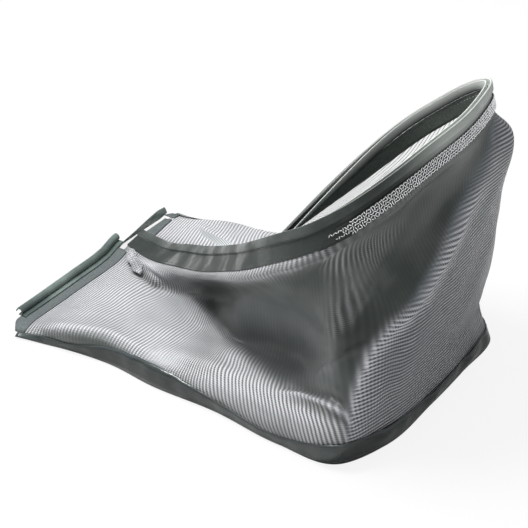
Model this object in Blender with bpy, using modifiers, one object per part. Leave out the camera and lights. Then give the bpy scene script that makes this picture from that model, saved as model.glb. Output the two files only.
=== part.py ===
"""Frameless cloth grass catcher for a walk-behind lawn mower, in metres.

+X runs from the open front to the rear, +Y from the near side to the far side, +Z is up.
The bag stands on its floor. A stiff plastic rim holds the rear up, and the front has
collapsed: the far side wall is folded in over the floor and the near one lies over it.

Points of the soft walls are given in percent: x of the floor's length, y of half its
width and z of the rim's height, so that the cloth follows the three main sizes.
"""

import math

import bmesh
import bpy
import numpy as np
from mathutils import Matrix

# Main sizes of the bag
FLOOR_LENGTH = 0.520
FLOOR_WIDTH = 0.366
RIM_HEIGHT = 0.397

# Sheets and the gap between neighbours
CLOTH = 0.0012
COATED_SHEET = 0.0014
TAPE = 0.0010
GAP = 0.0003
LOOSE_GAP = 0.0006

# Rim strip: a groove with a bead outside it and a flat sewing flange below
GROOVE_WIDTH = 0.0052
GROOVE_DEPTH = 0.0080
RIM_WALL = 0.0014
BEAD_WALL = 0.0028
RIM_DEPTH = 0.0120
FLANGE_DEPTH = 0.0350
FLANGE_THICKNESS = 0.0014

# Hook strip on the near front edge: an open tube with a sewing lip behind it
HOOK_OUTER_RADIUS = 0.0050
HOOK_WALL = 0.0012
HOOK_MOUTH = math.radians(75)
HOOK_LIP = 0.0060
HOOK_LENGTH = 0.216
HOOK_END_INSET = 0.027
HOOK_OVERLAP = 0.0015

# Hook strip on the far front edge: pressed flat, and its free end twists up on edge.
# Its stations give x and y in percent, the height of its middle in metres and its twist
# in degrees.
PRESSED_WIDTH = 0.0125
PRESSED_THICKNESS = 0.0024
PRESSED_STATIONS = (
    (-0.8, -20.0, 0.0037, 0),
    (-0.9, 8.0, 0.0037, 0),
    (-1.2, 24.0, 0.0042, 8),
    (-1.7, 37.0, 0.0055, 46),
    (-1.7, 54.0, 0.0062, 62),
    (-1.7, 72.0, 0.0068, 88),
    (-1.6, 90.0, 0.0071, 112),
    (-1.5, 95.0, 0.0073, 118),
)

# How far the floor's edge curves up before the turned-up wall
FLOOR_EDGE_ROUND = 0.0040

# Tapes
HEM_TAPE_TOP = 0.0190
HEM_TAPE_BOTTOM = 0.0365
INNER_TAPE_BOTTOM = 0.0335
SEAM_LAP = 0.0080
BINDING_WIDTH = 0.0120
BINDING_OVER_EDGE = 0.0040
SEAM_GAP = 0.0004
HEM_TAPE_LEAD = 0.035
INNER_TAPE_ENDS = (0.10, 0.90)
FRONT_TAPE_LAP = 0.0090
NEAR_TAPE_FORWARD = 0.0150
FAR_TAPE_FORWARD = 0.0110
FRONT_TAPE_TAPER = 0.027
CORNER_TAB_LENGTH = 0.0130
CORNER_TAB_GAP = 0.0030
TAPE_RIM_CLEARANCE = 0.008
FLOOR_HEM_WIDTH = 0.0140
FLOOR_HEM_INSET = 0.020

# Cloth bunched up below the rim's near end
TUCK_WIDTH = 0.0130
TUCK_HEIGHT = 0.0060
TUCK_LENGTH = 0.064
TUCK_SWING = 0.020
TUCK_PLEATS = 3
TUCK_START = 0.014
TUCK_STATIONS = 10

# How the rim's ends are cut along the front edge, and how far the cloth runs straight
# below the flange
END_CUT = 0.60
CUT_LENGTH = 0.14
CLOTH_STRAIGHT = 0.010

# Fineness of the soft walls, and how much closer their columns stand per radian of turn
FINE_PLACES = 600
TURN_LENGTH = 0.06
BODY_STEPS = 60
BODY_ROWS = 11
NEAR_COLUMNS = 33
REAR_COLUMNS = 18
FAR_COLUMNS = 20

# Path of the rim's upper edge with its lean in degrees. A lean of 0 stands the strip
# upright, and 90 lays it flat with its flange outward.
RIM_PATH = (
    (1.0, 56.8, 3.0, 88),
    (15.0, 35.5, 9.6, 68),
    (27.5, 10.9, 20.6, 52),
    (40.0, -18.0, 32.7, 40),
    (52.5, -46.4, 45.6, 34),
    (65.0, -74.9, 59.2, 28),
    (77.5, -92.3, 72.5, 22),
    (87.5, -97.8, 81.9, 18),
    (96.2, -89.1, 91.2, 16),
    (101.3, -56.8, 97.2, 16),
    (103.1, -14.2, 100.0, 16),
    (102.5, 28.4, 99.2, 14),
    (100.0, 63.9, 98.0, 12),
    (96.3, 92.3, 96.2, 8),
    (90.0, 98.9, 90.9, 4),
    (81.5, 100.0, 82.1, 2),
    (68.1, 97.8, 66.8, 6),
    (58.8, 88.5, 49.9, 14),
    (49.6, 63.9, 33.0, 34),
    (44.0, 36.0, 18.5, 62),
    (37.0, 14.0, 5.6, 84),
    (28.0, -4.0, 2.4, 90),
    (17.0, -22.0, 1.8, 90),
    (8.0, -40.0, 1.7, 90),
)

# Standing sections of the wall, from the near front corner round the rear to the far
# front corner. Each has its share of the rim's length, the foot on the floor's edge and
# four points up the cloth; above them the cloth leaves the rim's flange.
WALL_SECTIONS = (
    (0.000, (0.8, -101.0), ((0.9, -93.0, 0.3), (1.2, -60.0, 0.4), (1.8, -20.0, 0.6), (2.2, 14.0, 0.8))),
    (0.050, (14.0, -93.5), ((13.6, -95.0, 5.6), (13.4, -58.0, 5.4), (13.6, -20.0, 4.8), (13.6, 6.0, 4.2))),
    (0.105, (27.0, -91.5), ((26.0, -88.0, 5.4), (26.6, -62.0, 6.6), (27.2, -32.0, 5.6), (28.2, -9.0, 6.0))),
    (0.165, (42.0, -98.0), ((42.0, -96.0, 5.6), (44.0, -68.0, 9.0), (42.5, -36.0, 7.0), (41.0, -18.0, 12.0))),
    (0.250, (61.0, -100.0), ((61.0, -101.0, 5.2), (60.0, -76.0, 11.6), (57.8, -46.0, 9.6), (58.0, -50.0, 26.0))),
    (0.325, (82.0, -109.5), ((83.0, -111.0, 6.0), (80.0, -90.0, 14.0), (76.5, -60.0, 16.0), (77.5, -70.0, 40.0))),
    (0.395, (99.5, -105.0), ((101.5, -106.5, 9.0), (98.0, -92.0, 26.0), (91.5, -71.0, 44.0), (92.0, -76.0, 68.0))),
    (0.440, (103.8, -68.0), ((104.6, -66.0, 12.0), (105.6, -61.0, 30.0), (103.4, -57.0, 46.0), (95.5, -56.0, 68.0))),
    (0.495, (103.0, -10.0), ((104.8, -10.0, 14.0), (106.6, -10.0, 36.0), (106.8, -9.0, 57.0), (101.0, -8.0, 79.0))),
    (0.545, (101.4, 38.0), ((102.8, 38.0, 14.0), (104.8, 38.0, 38.0), (105.6, 38.0, 58.0), (104.6, 40.0, 78.0))),
    (0.603, (98.8, 86.0), ((96.1, 84.0, 12.9), (98.4, 86.0, 29.0), (101.2, 87.0, 56.0), (104.0, 88.0, 80.0))),
    (0.655, (84.0, 100.0), ((84.0, 103.0, 14.0), (84.0, 105.0, 32.0), (83.6, 105.0, 50.0), (83.0, 104.0, 66.0))),
    (0.710, (67.0, 101.0), ((67.4, 103.5, 12.0), (67.8, 105.0, 24.0), (68.0, 104.0, 36.0), (68.2, 103.0, 48.0))),
    (0.765, (52.0, 101.0), ((52.6, 103.0, 8.0), (53.4, 104.0, 15.0), (54.4, 103.0, 22.0), (55.2, 100.0, 29.0))),
    (0.840, (36.0, 101.0), ((36.2, 101.5, 6.4), (37.0, 92.0, 9.6), (39.0, 80.0, 11.0), (40.6, 70.0, 12.2))),
    (0.910, (19.0, 101.0), ((19.2, 99.5, 4.0), (21.0, 82.0, 5.4), (24.0, 58.0, 5.0), (27.0, 36.0, 4.2))),
    (1.000, (1.2, 99.5), ((1.2, 92.0, 0.2), (1.8, 62.0, 0.2), (2.6, 34.0, 0.2), (3.6, 10.0, 0.4))),
)
NEAR_REAR_SEAM = 6
FAR_REAR_SEAM = 10

# Height in metres of the coated sheet's turned-up edge at each wall section
EDGE_HEIGHTS = (
    0.007, 0.012, 0.022, 0.030, 0.020, 0.016, 0.038, 0.030, 0.024,
    0.024, 0.020, 0.020, 0.020, 0.020, 0.018, 0.012, 0.007,
)


def metres(x, y, z):
    """Place of a point given in percent of the bag's length, half width and height."""
    return np.array([x * FLOOR_LENGTH, y * FLOOR_WIDTH / 2, z * RIM_HEIGHT]) / 100


def unit(vectors):
    """The vectors at length 1."""
    return vectors / np.maximum(np.linalg.norm(vectors, axis=-1, keepdims=True), 1e-12)


def along(rows, knots, places):
    """Catmull-Rom curve through the rows at the knots, read at the places."""
    rows = np.asarray(rows, float)
    knots = np.asarray(knots, float)
    places = np.clip(np.asarray(places, float), knots[0], knots[-1])
    spans = np.diff(knots)
    steps = np.diff(rows, axis=0) / spans.reshape(-1, *[1] * (rows.ndim - 1))
    slopes = np.empty_like(rows)
    slopes[0], slopes[-1] = steps[0], steps[-1]
    weight = (spans[1:] / (spans[1:] + spans[:-1])).reshape(-1, *[1] * (rows.ndim - 1))
    slopes[1:-1] = steps[:-1] * weight + steps[1:] * (1 - weight)
    index = np.clip(np.searchsorted(knots, places, side="right") - 1, 0, len(spans) - 1)
    shape = (-1, *[1] * (rows.ndim - 1))
    span = spans[index].reshape(shape)
    t = (places - knots[index]).reshape(shape) / span
    return (
        (2 * t**3 - 3 * t**2 + 1) * rows[index]
        + (t**3 - 2 * t**2 + t) * span * slopes[index]
        + (3 * t**2 - 2 * t**3) * rows[index + 1]
        + (t**3 - t**2) * span * slopes[index + 1]
    )


def even(points, count):
    """The smooth curve through the points, cut into equal steps."""
    points = np.asarray(points, float)
    chords = np.linalg.norm(np.diff(points[:, :3], axis=0), axis=1)
    knots = np.concatenate([[0], np.cumsum(np.sqrt(chords))])
    fine = along(points, knots, np.linspace(0, knots[-1], 24 * len(points)))
    lengths = np.linalg.norm(np.diff(fine[:, :3], axis=0), axis=1)
    lengths = np.concatenate([[0], np.cumsum(lengths)])
    wanted = np.linspace(0, lengths[-1], count)
    return np.stack([np.interp(wanted, lengths, column) for column in fine.T], axis=1)


class Rim:
    """The path of the rim and the directions across it."""

    def __init__(self):
        points = [(*metres(x, y, z), math.radians(lean)) for x, y, z, lean in RIM_PATH]
        self.points = even(points, 400)
        self.length = np.linalg.norm(np.diff(self.points[:, :3], axis=0), axis=1).sum()

    def frames(self, shares):
        """Upper edge, down and outward directions at shares of the rim's length."""
        steps = np.linspace(0, 1, len(self.points))
        shares = np.atleast_1d(shares)
        here = np.stack([np.interp(shares, steps, column) for column in self.points.T], axis=1)
        tangents = unit(np.gradient(self.points[:, :3], axis=0))
        tangent = unit(np.stack([np.interp(shares, steps, column) for column in tangents.T], axis=1))
        flat_out = unit(np.stack([tangent[:, 1], -tangent[:, 0], np.zeros(len(tangent))], axis=1))
        up = np.cross(flat_out, tangent)
        lean = here[:, 3:]
        down = np.sin(lean) * flat_out - np.cos(lean) * up
        out = np.cos(lean) * flat_out + np.sin(lean) * up
        return here[:, :3], down, out

    def at(self, shares, depth, outward):
        """Points at a depth below the rim's upper edge and a distance outward of its middle."""
        shares = np.atleast_1d(np.asarray(shares, float))
        slant = END_CUT * depth / self.length
        near = np.clip(1 - shares * self.length / CUT_LENGTH, 0, 1)
        far = np.clip(1 - (1 - shares) * self.length / CUT_LENGTH, 0, 1)
        edge, down, out = self.frames(shares + slant * (near - far))
        return edge + depth * down + outward * out


RIM = Rim()
CLOTH_SEAT = RIM_DEPTH + GAP + LOOSE_GAP
FLANGE_INSIDE = CLOTH / 2 + GAP


# Rows of the wall's grid that the sheets share, and the depths of its rows in the rim
LOW_ROW = 2
EDGE_ROW = 4
BINDING_ROW = 5
COLLAR_DEPTHS = (FLANGE_DEPTH, CLOTH_SEAT)


class Wall:
    """The middle surface of the cloth wall all round, from the floor's edge to the rim.

    It is one grid of columns and rows, which every sheet and tape follows, so that
    neighbours stay parallel.
    """

    def __init__(self):
        self.shares = np.array([section[0] for section in WALL_SECTIONS])
        self.bodies = np.array([self.body(*section) for section in WALL_SECTIONS])
        moves = np.linalg.norm(np.diff(self.bodies, axis=0), axis=2).mean(axis=1)
        self.knots = np.concatenate([[0], np.cumsum(moves)])
        self.seam_columns = []
        self.places = self.place_columns()
        self.column_shares = along(self.shares, self.knots, self.places)
        self.edges = along(np.array(EDGE_HEIGHTS), self.knots, self.places)
        self.grid, self.normals = self.lay_grid()

    def body(self, share, foot, points):
        """Smooth section of the wall, from its foot to the lower edge of the rim's flange."""
        base = metres(*foot, 0) + np.array([0, 0, COATED_SHEET])
        middle = [metres(*point) + np.array([0, 0, self.lift(share)]) for point in points]
        leaving = RIM.at(share, FLANGE_DEPTH + CLOTH_STRAIGHT, 0)[0]
        return even([base, *middle, leaving], BODY_STEPS)

    @staticmethod
    def lift(share):
        """Height of the layers that lie under the wall where it is folded in."""
        layers = COATED_SHEET + TAPE + 2 * GAP + CLOTH / 2
        return layers + (CLOTH + TAPE + 2 * GAP if share < 0.5 else 0)

    def place_columns(self):
        """Places of the columns: at the seams and front edges, where their tapes end, and between.

        Those between stand closer together where the rim turns or twists.
        """
        fine = np.linspace(0, self.knots[-1], FINE_PLACES)
        outward = RIM.frames(along(self.shares, self.knots, fine))[2]
        effort = np.diff(fine) + TURN_LENGTH * np.linalg.norm(np.diff(outward, axis=0), axis=1)
        effort = np.concatenate([[0], np.cumsum(effort)])
        stops = self.knots[[0, NEAR_REAR_SEAM, FAR_REAR_SEAM, -1]]
        gaps = (0, SEAM_GAP, SEAM_GAP, 0)
        laps = (FRONT_TAPE_LAP, BINDING_WIDTH / 2, BINDING_WIDTH / 2, FRONT_TAPE_LAP)
        places = []
        for k, count in enumerate((NEAR_COLUMNS, REAR_COLUMNS, FAR_COLUMNS)):
            start, end = stops[k] + gaps[k], stops[k + 1] - gaps[k + 1]
            ends = np.interp((start + laps[k], end - laps[k + 1]), fine, effort)
            between = np.interp(np.linspace(*ends, count - 2), effort, fine)
            places.extend([start, *between, end])
            self.seam_columns.append(len(places))
        return np.array(places)

    def lay_grid(self):
        """Points of every column and row, and their outward normals."""
        bodies = along(self.bodies, self.knots, self.places)
        leaving = RIM.at(self.column_shares, FLANGE_DEPTH + CLOTH_STRAIGHT, 0)
        rise = np.linspace(0, 1, BODY_STEPS) ** 3
        bodies += rise[None, :, None] * (leaving - bodies[:, -1])[:, None]
        columns = [self.lay_column(body, edge) for body, edge in zip(bodies, self.edges)]
        below = np.array(columns)
        collar = [RIM.at(self.column_shares, depth, 0) for depth in COLLAR_DEPTHS]
        grid = np.concatenate([below, np.stack(collar, axis=1)], axis=1)
        normals = normals_of(grid)
        out = RIM.frames(self.column_shares)[2]
        normals[:, -len(COLLAR_DEPTHS) :] = out[:, None]
        return grid, normals

    @staticmethod
    def lay_column(body, edge):
        """Rows of one column: through the seam of the floor, then up to the flange."""
        lengths = lengths_of(body)
        low = max(edge - SEAM_LAP, edge / 2)
        binding = max(low + BINDING_WIDTH, edge + BINDING_OVER_EDGE)
        foot = [0, low / 2, low, (low + edge) / 2, edge, binding]
        heights = np.concatenate([foot, np.linspace(binding, lengths[-1], BODY_ROWS)[1:]])
        return np.stack([np.interp(heights, lengths, axis) for axis in body.T], axis=1)


def lengths_of(points):
    """Length along a run of points to each of them."""
    return np.concatenate([[0], np.cumsum(np.linalg.norm(np.diff(points, axis=0), axis=1))])


def normals_of(grid):
    """Outward unit normals of a grid of wall points."""
    across = np.gradient(grid, axis=0)
    upward = np.gradient(grid, axis=1)
    return unit(np.cross(across, upward))


WALL = Wall()


def grid_mesh(name, grid, close_foot=False):
    """Mesh of a grid, every cell split the same way, its first row closed by one face if asked."""
    columns, rows = grid.shape[:2]
    mesh = bpy.data.meshes.new(name)
    bm = bmesh.new()
    verts = [[bm.verts.new(point) for point in column] for column in grid]
    for i in range(columns - 1):
        for j in range(rows - 1):
            corner, across, far, up = verts[i][j], verts[i + 1][j], verts[i + 1][j + 1], verts[i][j + 1]
            bm.faces.new((corner, across, far))
            bm.faces.new((corner, far, up))
    if close_foot:
        bm.faces.new([column[0] for column in verts][::-1])
    bmesh.ops.recalc_face_normals(bm, faces=bm.faces)
    bm.to_mesh(mesh)
    bm.free()
    return mesh


def grid_object(name, grid, material, collection, thickness):
    """Open sheet through a grid of points, made solid to both sides."""
    return finished(name, grid_mesh(name, grid), material, collection, thickness)


def finished(name, mesh, material, collection, thickness=None):
    """Object for a mesh, with its material, smooth shading and thickness."""
    mesh.materials.append(material)
    mesh.shade_smooth()
    obj = bpy.data.objects.new(name, mesh)
    collection.objects.link(obj)
    if thickness:
        solid = obj.modifiers.new("Thickness", "SOLIDIFY")
        solid.thickness = thickness
        solid.offset = 0
    return obj


def swept(name, rings, material, collection, heights=None):
    """Closed strip lofted through rings of the same number of points, with flat ends.

    Where the points have heights, each side is split from low here to high there, as
    the cells of the sheets are.
    """
    mesh = bpy.data.meshes.new(name)
    bm = bmesh.new()
    loops = [[bm.verts.new(point) for point in ring] for ring in rings]
    count = len(loops[0])
    for here, there in zip(loops, loops[1:]):
        for k in range(count):
            after = (k + 1) % count
            sides = (here[k], here[after], there[after], there[k])
            if heights is None or heights[k] == heights[after]:
                bm.faces.new(sides)
                continue
            if heights[k] > heights[after]:
                sides = sides[1:] + sides[:1]
            bm.faces.new(sides[:3])
            bm.faces.new((sides[0], sides[2], sides[3]))
    bm.faces.new(loops[0][::-1])
    bm.faces.new(loops[-1])
    bmesh.ops.recalc_face_normals(bm, faces=bm.faces)
    bm.to_mesh(mesh)
    bm.free()
    mesh.set_sharp_from_angle(angle=math.radians(35))
    return finished(name, mesh, material, collection)


def material(name, colour, roughness, metallic=0.0):
    """Principled material of a sub-part."""
    made = bpy.data.materials.new(name)
    made.use_nodes = True
    shader = made.node_tree.nodes["Principled BSDF"]
    shader.inputs["Base Color"].default_value = (*colour, 1)
    shader.inputs["Roughness"].default_value = roughness
    shader.inputs["Metallic"].default_value = metallic
    return made


def make_materials():
    """The bag's materials by name."""
    return {
        "mesh_cloth": material("mesh_cloth", (0.17, 0.18, 0.19), 0.45),
        "coated_sheet": material("coated_sheet", (0.05, 0.055, 0.055), 0.4),
        "rim_plastic": material("rim_plastic", (0.22, 0.24, 0.23), 0.35),
        "hook_plastic": material("hook_plastic", (0.14, 0.18, 0.17), 0.3),
        "flange_tape": material("flange_tape", (0.12, 0.13, 0.135), 0.5),
        "hem_tape": material("hem_tape", (0.25, 0.26, 0.26), 0.6),
        "dark_tape": material("dark_tape", (0.06, 0.068, 0.062), 0.6),
    }


def make_panels(looks, collection):
    """The three panels of mesh cloth, from inside the floor's turned-up edge to the rim."""
    starts = [0, *WALL.seam_columns]
    names = ("near_side_panel", "rear_panel", "far_side_panel")
    for name, first, last in zip(names, starts, starts[1:]):
        grid_object(name, WALL.grid[first:last, LOW_ROW:], looks["mesh_cloth"], collection, CLOTH)


def make_bottom_panel(looks, collection):
    """Coated sheet: the floor with its edge turned up outside the cloth."""
    outward = CLOTH / 2 + GAP + COATED_SHEET / 2
    rows = slice(0, EDGE_ROW + 1)
    shell = WALL.grid[:, rows] + WALL.normals[:, rows] * outward
    inward = unit(WALL.normals[:, :1] * (1, 1, 0))
    foot = shell[:, :1] - inward * FLOOR_EDGE_ROUND
    foot[:, :, 2] = COATED_SHEET / 2
    flat = foot - inward * FLOOR_EDGE_ROUND
    shell[:, :, 2] = np.maximum(shell[:, :, 2], COATED_SHEET / 2 + FLOOR_EDGE_ROUND / 4)
    mesh = grid_mesh("bottom_panel", np.concatenate([flat, foot, shell], axis=1), close_foot=True)
    finished("bottom_panel", mesh, looks["coated_sheet"], collection, COATED_SHEET)


def rim_profile():
    """Section of the rim strip: depth below the upper edge and distance outward."""
    inner = -GROOVE_WIDTH / 2 - RIM_WALL
    outer = GROOVE_WIDTH / 2 + BEAD_WALL
    flange_out = FLANGE_INSIDE + FLANGE_THICKNESS
    floor_top = GROOVE_DEPTH
    return (
        (0.0, inner),
        (0.0, inner + RIM_WALL),
        (floor_top, inner + RIM_WALL),
        (floor_top, GROOVE_WIDTH / 2),
        (0.0, GROOVE_WIDTH / 2),
        (-0.0008, GROOVE_WIDTH / 2 + BEAD_WALL / 2),
        (0.0010, outer),
        (RIM_DEPTH - 0.0015, outer),
        (RIM_DEPTH, flange_out + 0.0006),
        (RIM_DEPTH + 0.0006, flange_out),
        (FLANGE_DEPTH, flange_out),
        (FLANGE_DEPTH, FLANGE_INSIDE),
        (RIM_DEPTH, FLANGE_INSIDE),
        (RIM_DEPTH, inner + 0.0010),
        (RIM_DEPTH - 0.0012, inner),
    )


def make_rim(looks, collection):
    """The groove strip, one length round the top."""
    shares = np.delete(WALL.column_shares, WALL.seam_columns[:2])
    profile = rim_profile()
    rings = np.stack([RIM.at(shares, depth, outward) for depth, outward in profile], axis=1)
    heights = [-depth for depth, _ in profile]
    swept("rim_channel", rings, looks["rim_plastic"], collection, heights)


def rim_band(name, first, last, depths, outward, look, collection):
    """Flat tape along a stretch of the rim, on one face of its flange or of the cloth."""
    shares = np.delete(WALL.column_shares, WALL.seam_columns[:2])
    shares = shares[(shares >= first) & (shares <= last)]
    rows = [RIM.at(shares, depth, outward) for depth in depths]
    grid_object(name, np.stack(rows, axis=1), look, collection, TAPE)


def make_rim_tapes(looks, collection):
    """The wide stitched tape along the rear and the dark tape inside."""
    outside = FLANGE_INSIDE + FLANGE_THICKNESS + GAP + LOOSE_GAP + TAPE / 2
    inside = -(CLOTH / 2 + LOOSE_GAP + TAPE / 2)
    start = WALL.shares[NEAR_REAR_SEAM] - HEM_TAPE_LEAD
    end = WALL.shares[FAR_REAR_SEAM] + HEM_TAPE_LEAD / 4
    rim_band("rear_hem_tape", start, end, (HEM_TAPE_BOTTOM, HEM_TAPE_TOP), outside, looks["hem_tape"], collection)
    depths = (INNER_TAPE_BOTTOM, CLOTH_SEAT)
    rim_band("rim_inner_tape", *INNER_TAPE_ENDS, depths, inside, looks["dark_tape"], collection)


def make_bindings(looks, collection):
    """Tapes inside the bag: along the seam of the floor and in the two standing rear seams."""
    inside = CLOTH / 2 + LOOSE_GAP + TAPE / 2
    inner = WALL.grid - WALL.normals * inside
    first = int(np.searchsorted(WALL.places, WALL.knots[2]))
    last = int(np.searchsorted(WALL.places, WALL.knots[-2]))
    band = inner[first:last, [LOW_ROW, LOW_ROW + 1, EDGE_ROW, BINDING_ROW]]
    grid_object("bottom_seam_binding", band, looks["dark_tape"], collection, TAPE)
    for name, seam in zip(("near_corner_binding", "far_corner_binding"), WALL.seam_columns):
        strip = inner[seam - 2 : seam + 2, BINDING_ROW : -len(COLLAR_DEPTHS)].copy()
        strip[:, 0] += unit(strip[:, 1] - strip[:, 0]) * 2 * LOOSE_GAP
        grid_object(name, strip, looks["dark_tape"], collection, TAPE)


def front_edge(column, neighbour):
    """Cloth's front edge, the column that its tape reaches, the normals and the floor's edge."""
    outside = CLOTH / 2 + LOOSE_GAP + TAPE / 2
    lines = [WALL.grid[k] + WALL.normals[k] * outside for k in (column, neighbour)]
    return WALL.grid[column], *lines, WALL.edges[column]


def front_tape(name, side, span, forward, taper, looks, collection):
    """Solid tape over a stretch of the cloth's front edge, standing out in front of it."""
    edge, over_edge, behind, _ = side
    swell = np.clip(lengths_of(edge) / taper, 0, 1)
    swell = 0.15 + 0.85 * swell * swell * (3 - 2 * swell)
    front = over_edge - np.stack([forward * swell, 0 * swell, 0 * swell], axis=1)
    lengths = lengths_of(edge)
    inside = lengths[(lengths > span[0] + GAP) & (lengths < span[1] - GAP)]
    wanted = np.concatenate([[span[0]], inside, [span[1]]])
    strip = []
    for column in (front, over_edge, behind):
        strip.append(np.stack([np.interp(wanted, lengths, axis) for axis in column.T], axis=1))
    grid_object(name, np.array(strip), looks["flange_tape"], collection, TAPE)
    return np.array(strip)


def hook_section():
    """Outline of the near hook strip round its tube's middle: rearward and upward."""
    radius, inner = HOOK_OUTER_RADIUS, HOOK_OUTER_RADIUS - HOOK_WALL
    middle = math.radians(225)
    start, end = middle + HOOK_MOUTH / 2, middle - HOOK_MOUTH / 2 + 2 * math.pi
    bottom = math.radians(280)
    meet = 2 * math.pi - math.asin((radius - HOOK_WALL) / radius)
    outline = [(radius * math.cos(a), radius * math.sin(a)) for a in (start, bottom)]
    outline += [(radius + HOOK_LIP, -radius), (radius + HOOK_LIP, HOOK_WALL - radius)]
    outline += [(radius * math.cos(a), radius * math.sin(a)) for a in np.linspace(meet, end, 10)]
    outline += [(inner * math.cos(a), inner * math.sin(a)) for a in np.linspace(end, start, 10)]
    return outline


def make_near_hook(front, looks, collection):
    """Hook strip lying on the near front tape, its lip on the tape's front edge."""
    ends = (front[:, 1].min() + HOOK_END_INSET, front[:, 1].min() + HOOK_END_INSET + HOOK_LENGTH)
    rings = []
    order = np.argsort(front[:, 1])
    between = front[(front[:, 1] > ends[0] + GAP) & (front[:, 1] < ends[1] - GAP), 1]
    for y in sorted([*ends, *between]):
        x, z = (np.interp(y, front[order, 1], front[order, k]) for k in (0, 2))
        middle_x = x + HOOK_OVERLAP - HOOK_OUTER_RADIUS
        middle_z = z + TAPE / 2 + LOOSE_GAP + HOOK_OUTER_RADIUS
        rings.append([(middle_x + a, y, middle_z + b) for a, b in hook_section()])
    swept("near_front_channel", rings, looks["hook_plastic"], collection)


def pressed_section():
    """Outline of the flattened hook strip: across its width and through its thickness."""
    half, thick = PRESSED_WIDTH / 2, PRESSED_THICKNESS / 2
    turns = np.linspace(0, 2 * math.pi, 10, endpoint=False)
    return [(half * math.cos(a), thick * math.copysign(abs(math.sin(a)) ** 0.5, math.sin(a))) for a in turns]


def make_far_hook(looks, collection):
    """Hook strip of the far side, held under its tape and twisted free at the end."""
    stations = [(*metres(x, y, 0)[:2], z, math.radians(twist)) for x, y, z, twist in PRESSED_STATIONS]
    path = even(stations, 16)
    rings = []
    for index, (x, y, z, twist) in enumerate(path):
        size = 0.72 if index == len(path) - 1 else 1.0
        across = np.array([math.cos(twist), 0, math.sin(twist)]) * size
        through = np.array([-math.sin(twist), 0, math.cos(twist)])
        rings.append([np.array([x, y, z]) + a * across + b * through for a, b in pressed_section()])
    swept("far_front_channel", rings, looks["hook_plastic"], collection)


def make_front_edges(looks, collection):
    """Tapes, corner tab and hook strips along the open front."""
    near, far = front_edge(0, 1), front_edge(-1, -2)
    below_rim = FLANGE_DEPTH - CLOTH_SEAT + TAPE_RIM_CLEARANCE
    near_start, far_start = near[-1] + 2 * GAP, far[-1] + 2 * GAP
    near_end, far_end = (lengths_of(side[0])[-1] - below_rim for side in (near, far))
    strip = front_tape(
        "near_front_flange", near, (near_start, near_end),
        NEAR_TAPE_FORWARD, FRONT_TAPE_TAPER, looks, collection,
    )
    make_near_hook(strip[0], looks, collection)
    front_tape(
        "far_corner_tab", far, (far_start, far_start + CORNER_TAB_LENGTH),
        FAR_TAPE_FORWARD, FRONT_TAPE_TAPER, looks, collection,
    )
    front_tape(
        "far_front_flange", far, (far_start + CORNER_TAB_LENGTH + CORNER_TAB_GAP, far_end),
        FAR_TAPE_FORWARD, 4 * FRONT_TAPE_TAPER, looks, collection,
    )
    make_far_hook(looks, collection)


def make_floor_hem(looks, collection):
    """Tape folded over the floor's front edge."""
    half = FLOOR_WIDTH / 2 - FLOOR_HEM_INSET
    front = metres(WALL_SECTIONS[-1][1][0], 0, 0)[0] + 2 * GAP
    height = COATED_SHEET + GAP + TAPE / 2
    rows = [[(x, y, height) for y in np.linspace(-half, half, 5)] for x in (front, front + FLOOR_HEM_WIDTH)]
    grid_object("bottom_front_hem", np.array(rows), looks["flange_tape"], collection, TAPE)


def make_tuck(looks, collection):
    """Cloth bunched into pleats from the front edge, down past the rim's flange."""
    steps = lengths_of(WALL.grid[: NEAR_COLUMNS // 2, -len(COLLAR_DEPTHS)])
    flange = FLANGE_DEPTH - CLOTH_SEAT + CLOTH_STRAIGHT / 4
    rings = []
    for turn in np.linspace(0, 1, TUCK_STATIONS):
        ahead = TUCK_START + turn * TUCK_LENGTH
        spot = np.interp(ahead, steps, np.arange(len(steps)))
        first, part = int(spot), spot - int(spot)
        column = WALL.grid[first] * (1 - part) + WALL.grid[first + 1] * part
        sides = WALL.normals[first] * (1 - part) + WALL.normals[first + 1] * part
        lengths = lengths_of(column)
        size = 0.35 + 0.65 * math.sin(math.pi * (0.15 + 0.8 * turn))
        height = lengths[-1] - flange - TUCK_WIDTH / 2 - TUCK_SWING * turn
        point, lower = (
            np.array([np.interp(spot, lengths, axis) for axis in column.T])
            for spot in (height, height - TUCK_WIDTH / 2)
        )
        normal = unit(np.array([np.interp(height, lengths, axis) for axis in sides.T]))
        middle = point + normal * (CLOTH / 2 + 2 * LOOSE_GAP + TUCK_HEIGHT / 2 * size)
        rings.append(middle + tuck_ring(size, unit(lower - point), normal))
    swept("near_hem_tuck", rings, looks["mesh_cloth"], collection)


def tuck_ring(size, across, normal):
    """One closed ring of the pleated tuck, flat below and ridged above."""
    ring = []
    for turn in np.linspace(0, 2 * math.pi, 14, endpoint=False):
        lift = math.sin(turn)
        ridge = 0.62 + 0.38 * math.cos(2 * TUCK_PLEATS * turn) if lift > 0 else 0.9
        ring.append(
            TUCK_WIDTH / 2 * size * math.cos(turn) * across
            + TUCK_HEIGHT / 2 * size * lift * ridge * normal
        )
    return np.array(ring)


def stand_on_origin(collection):
    """Moves the whole bag so that the middle of its box's foot is the origin."""
    bpy.context.view_layer.update()
    graph = bpy.context.evaluated_depsgraph_get()
    corners = np.array([corner for obj in collection.objects for corner in obj.evaluated_get(graph).bound_box])
    low, high = corners.min(axis=0), corners.max(axis=0)
    shift = (-(low[0] + high[0]) / 2, -(low[1] + high[1]) / 2, -low[2])
    for obj in collection.objects:
        obj.data.transform(Matrix.Translation(shift))
    return shift


def clear_scene():
    """Removes what the scene holds."""
    for obj in list(bpy.data.objects):
        bpy.data.objects.remove(obj)


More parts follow.
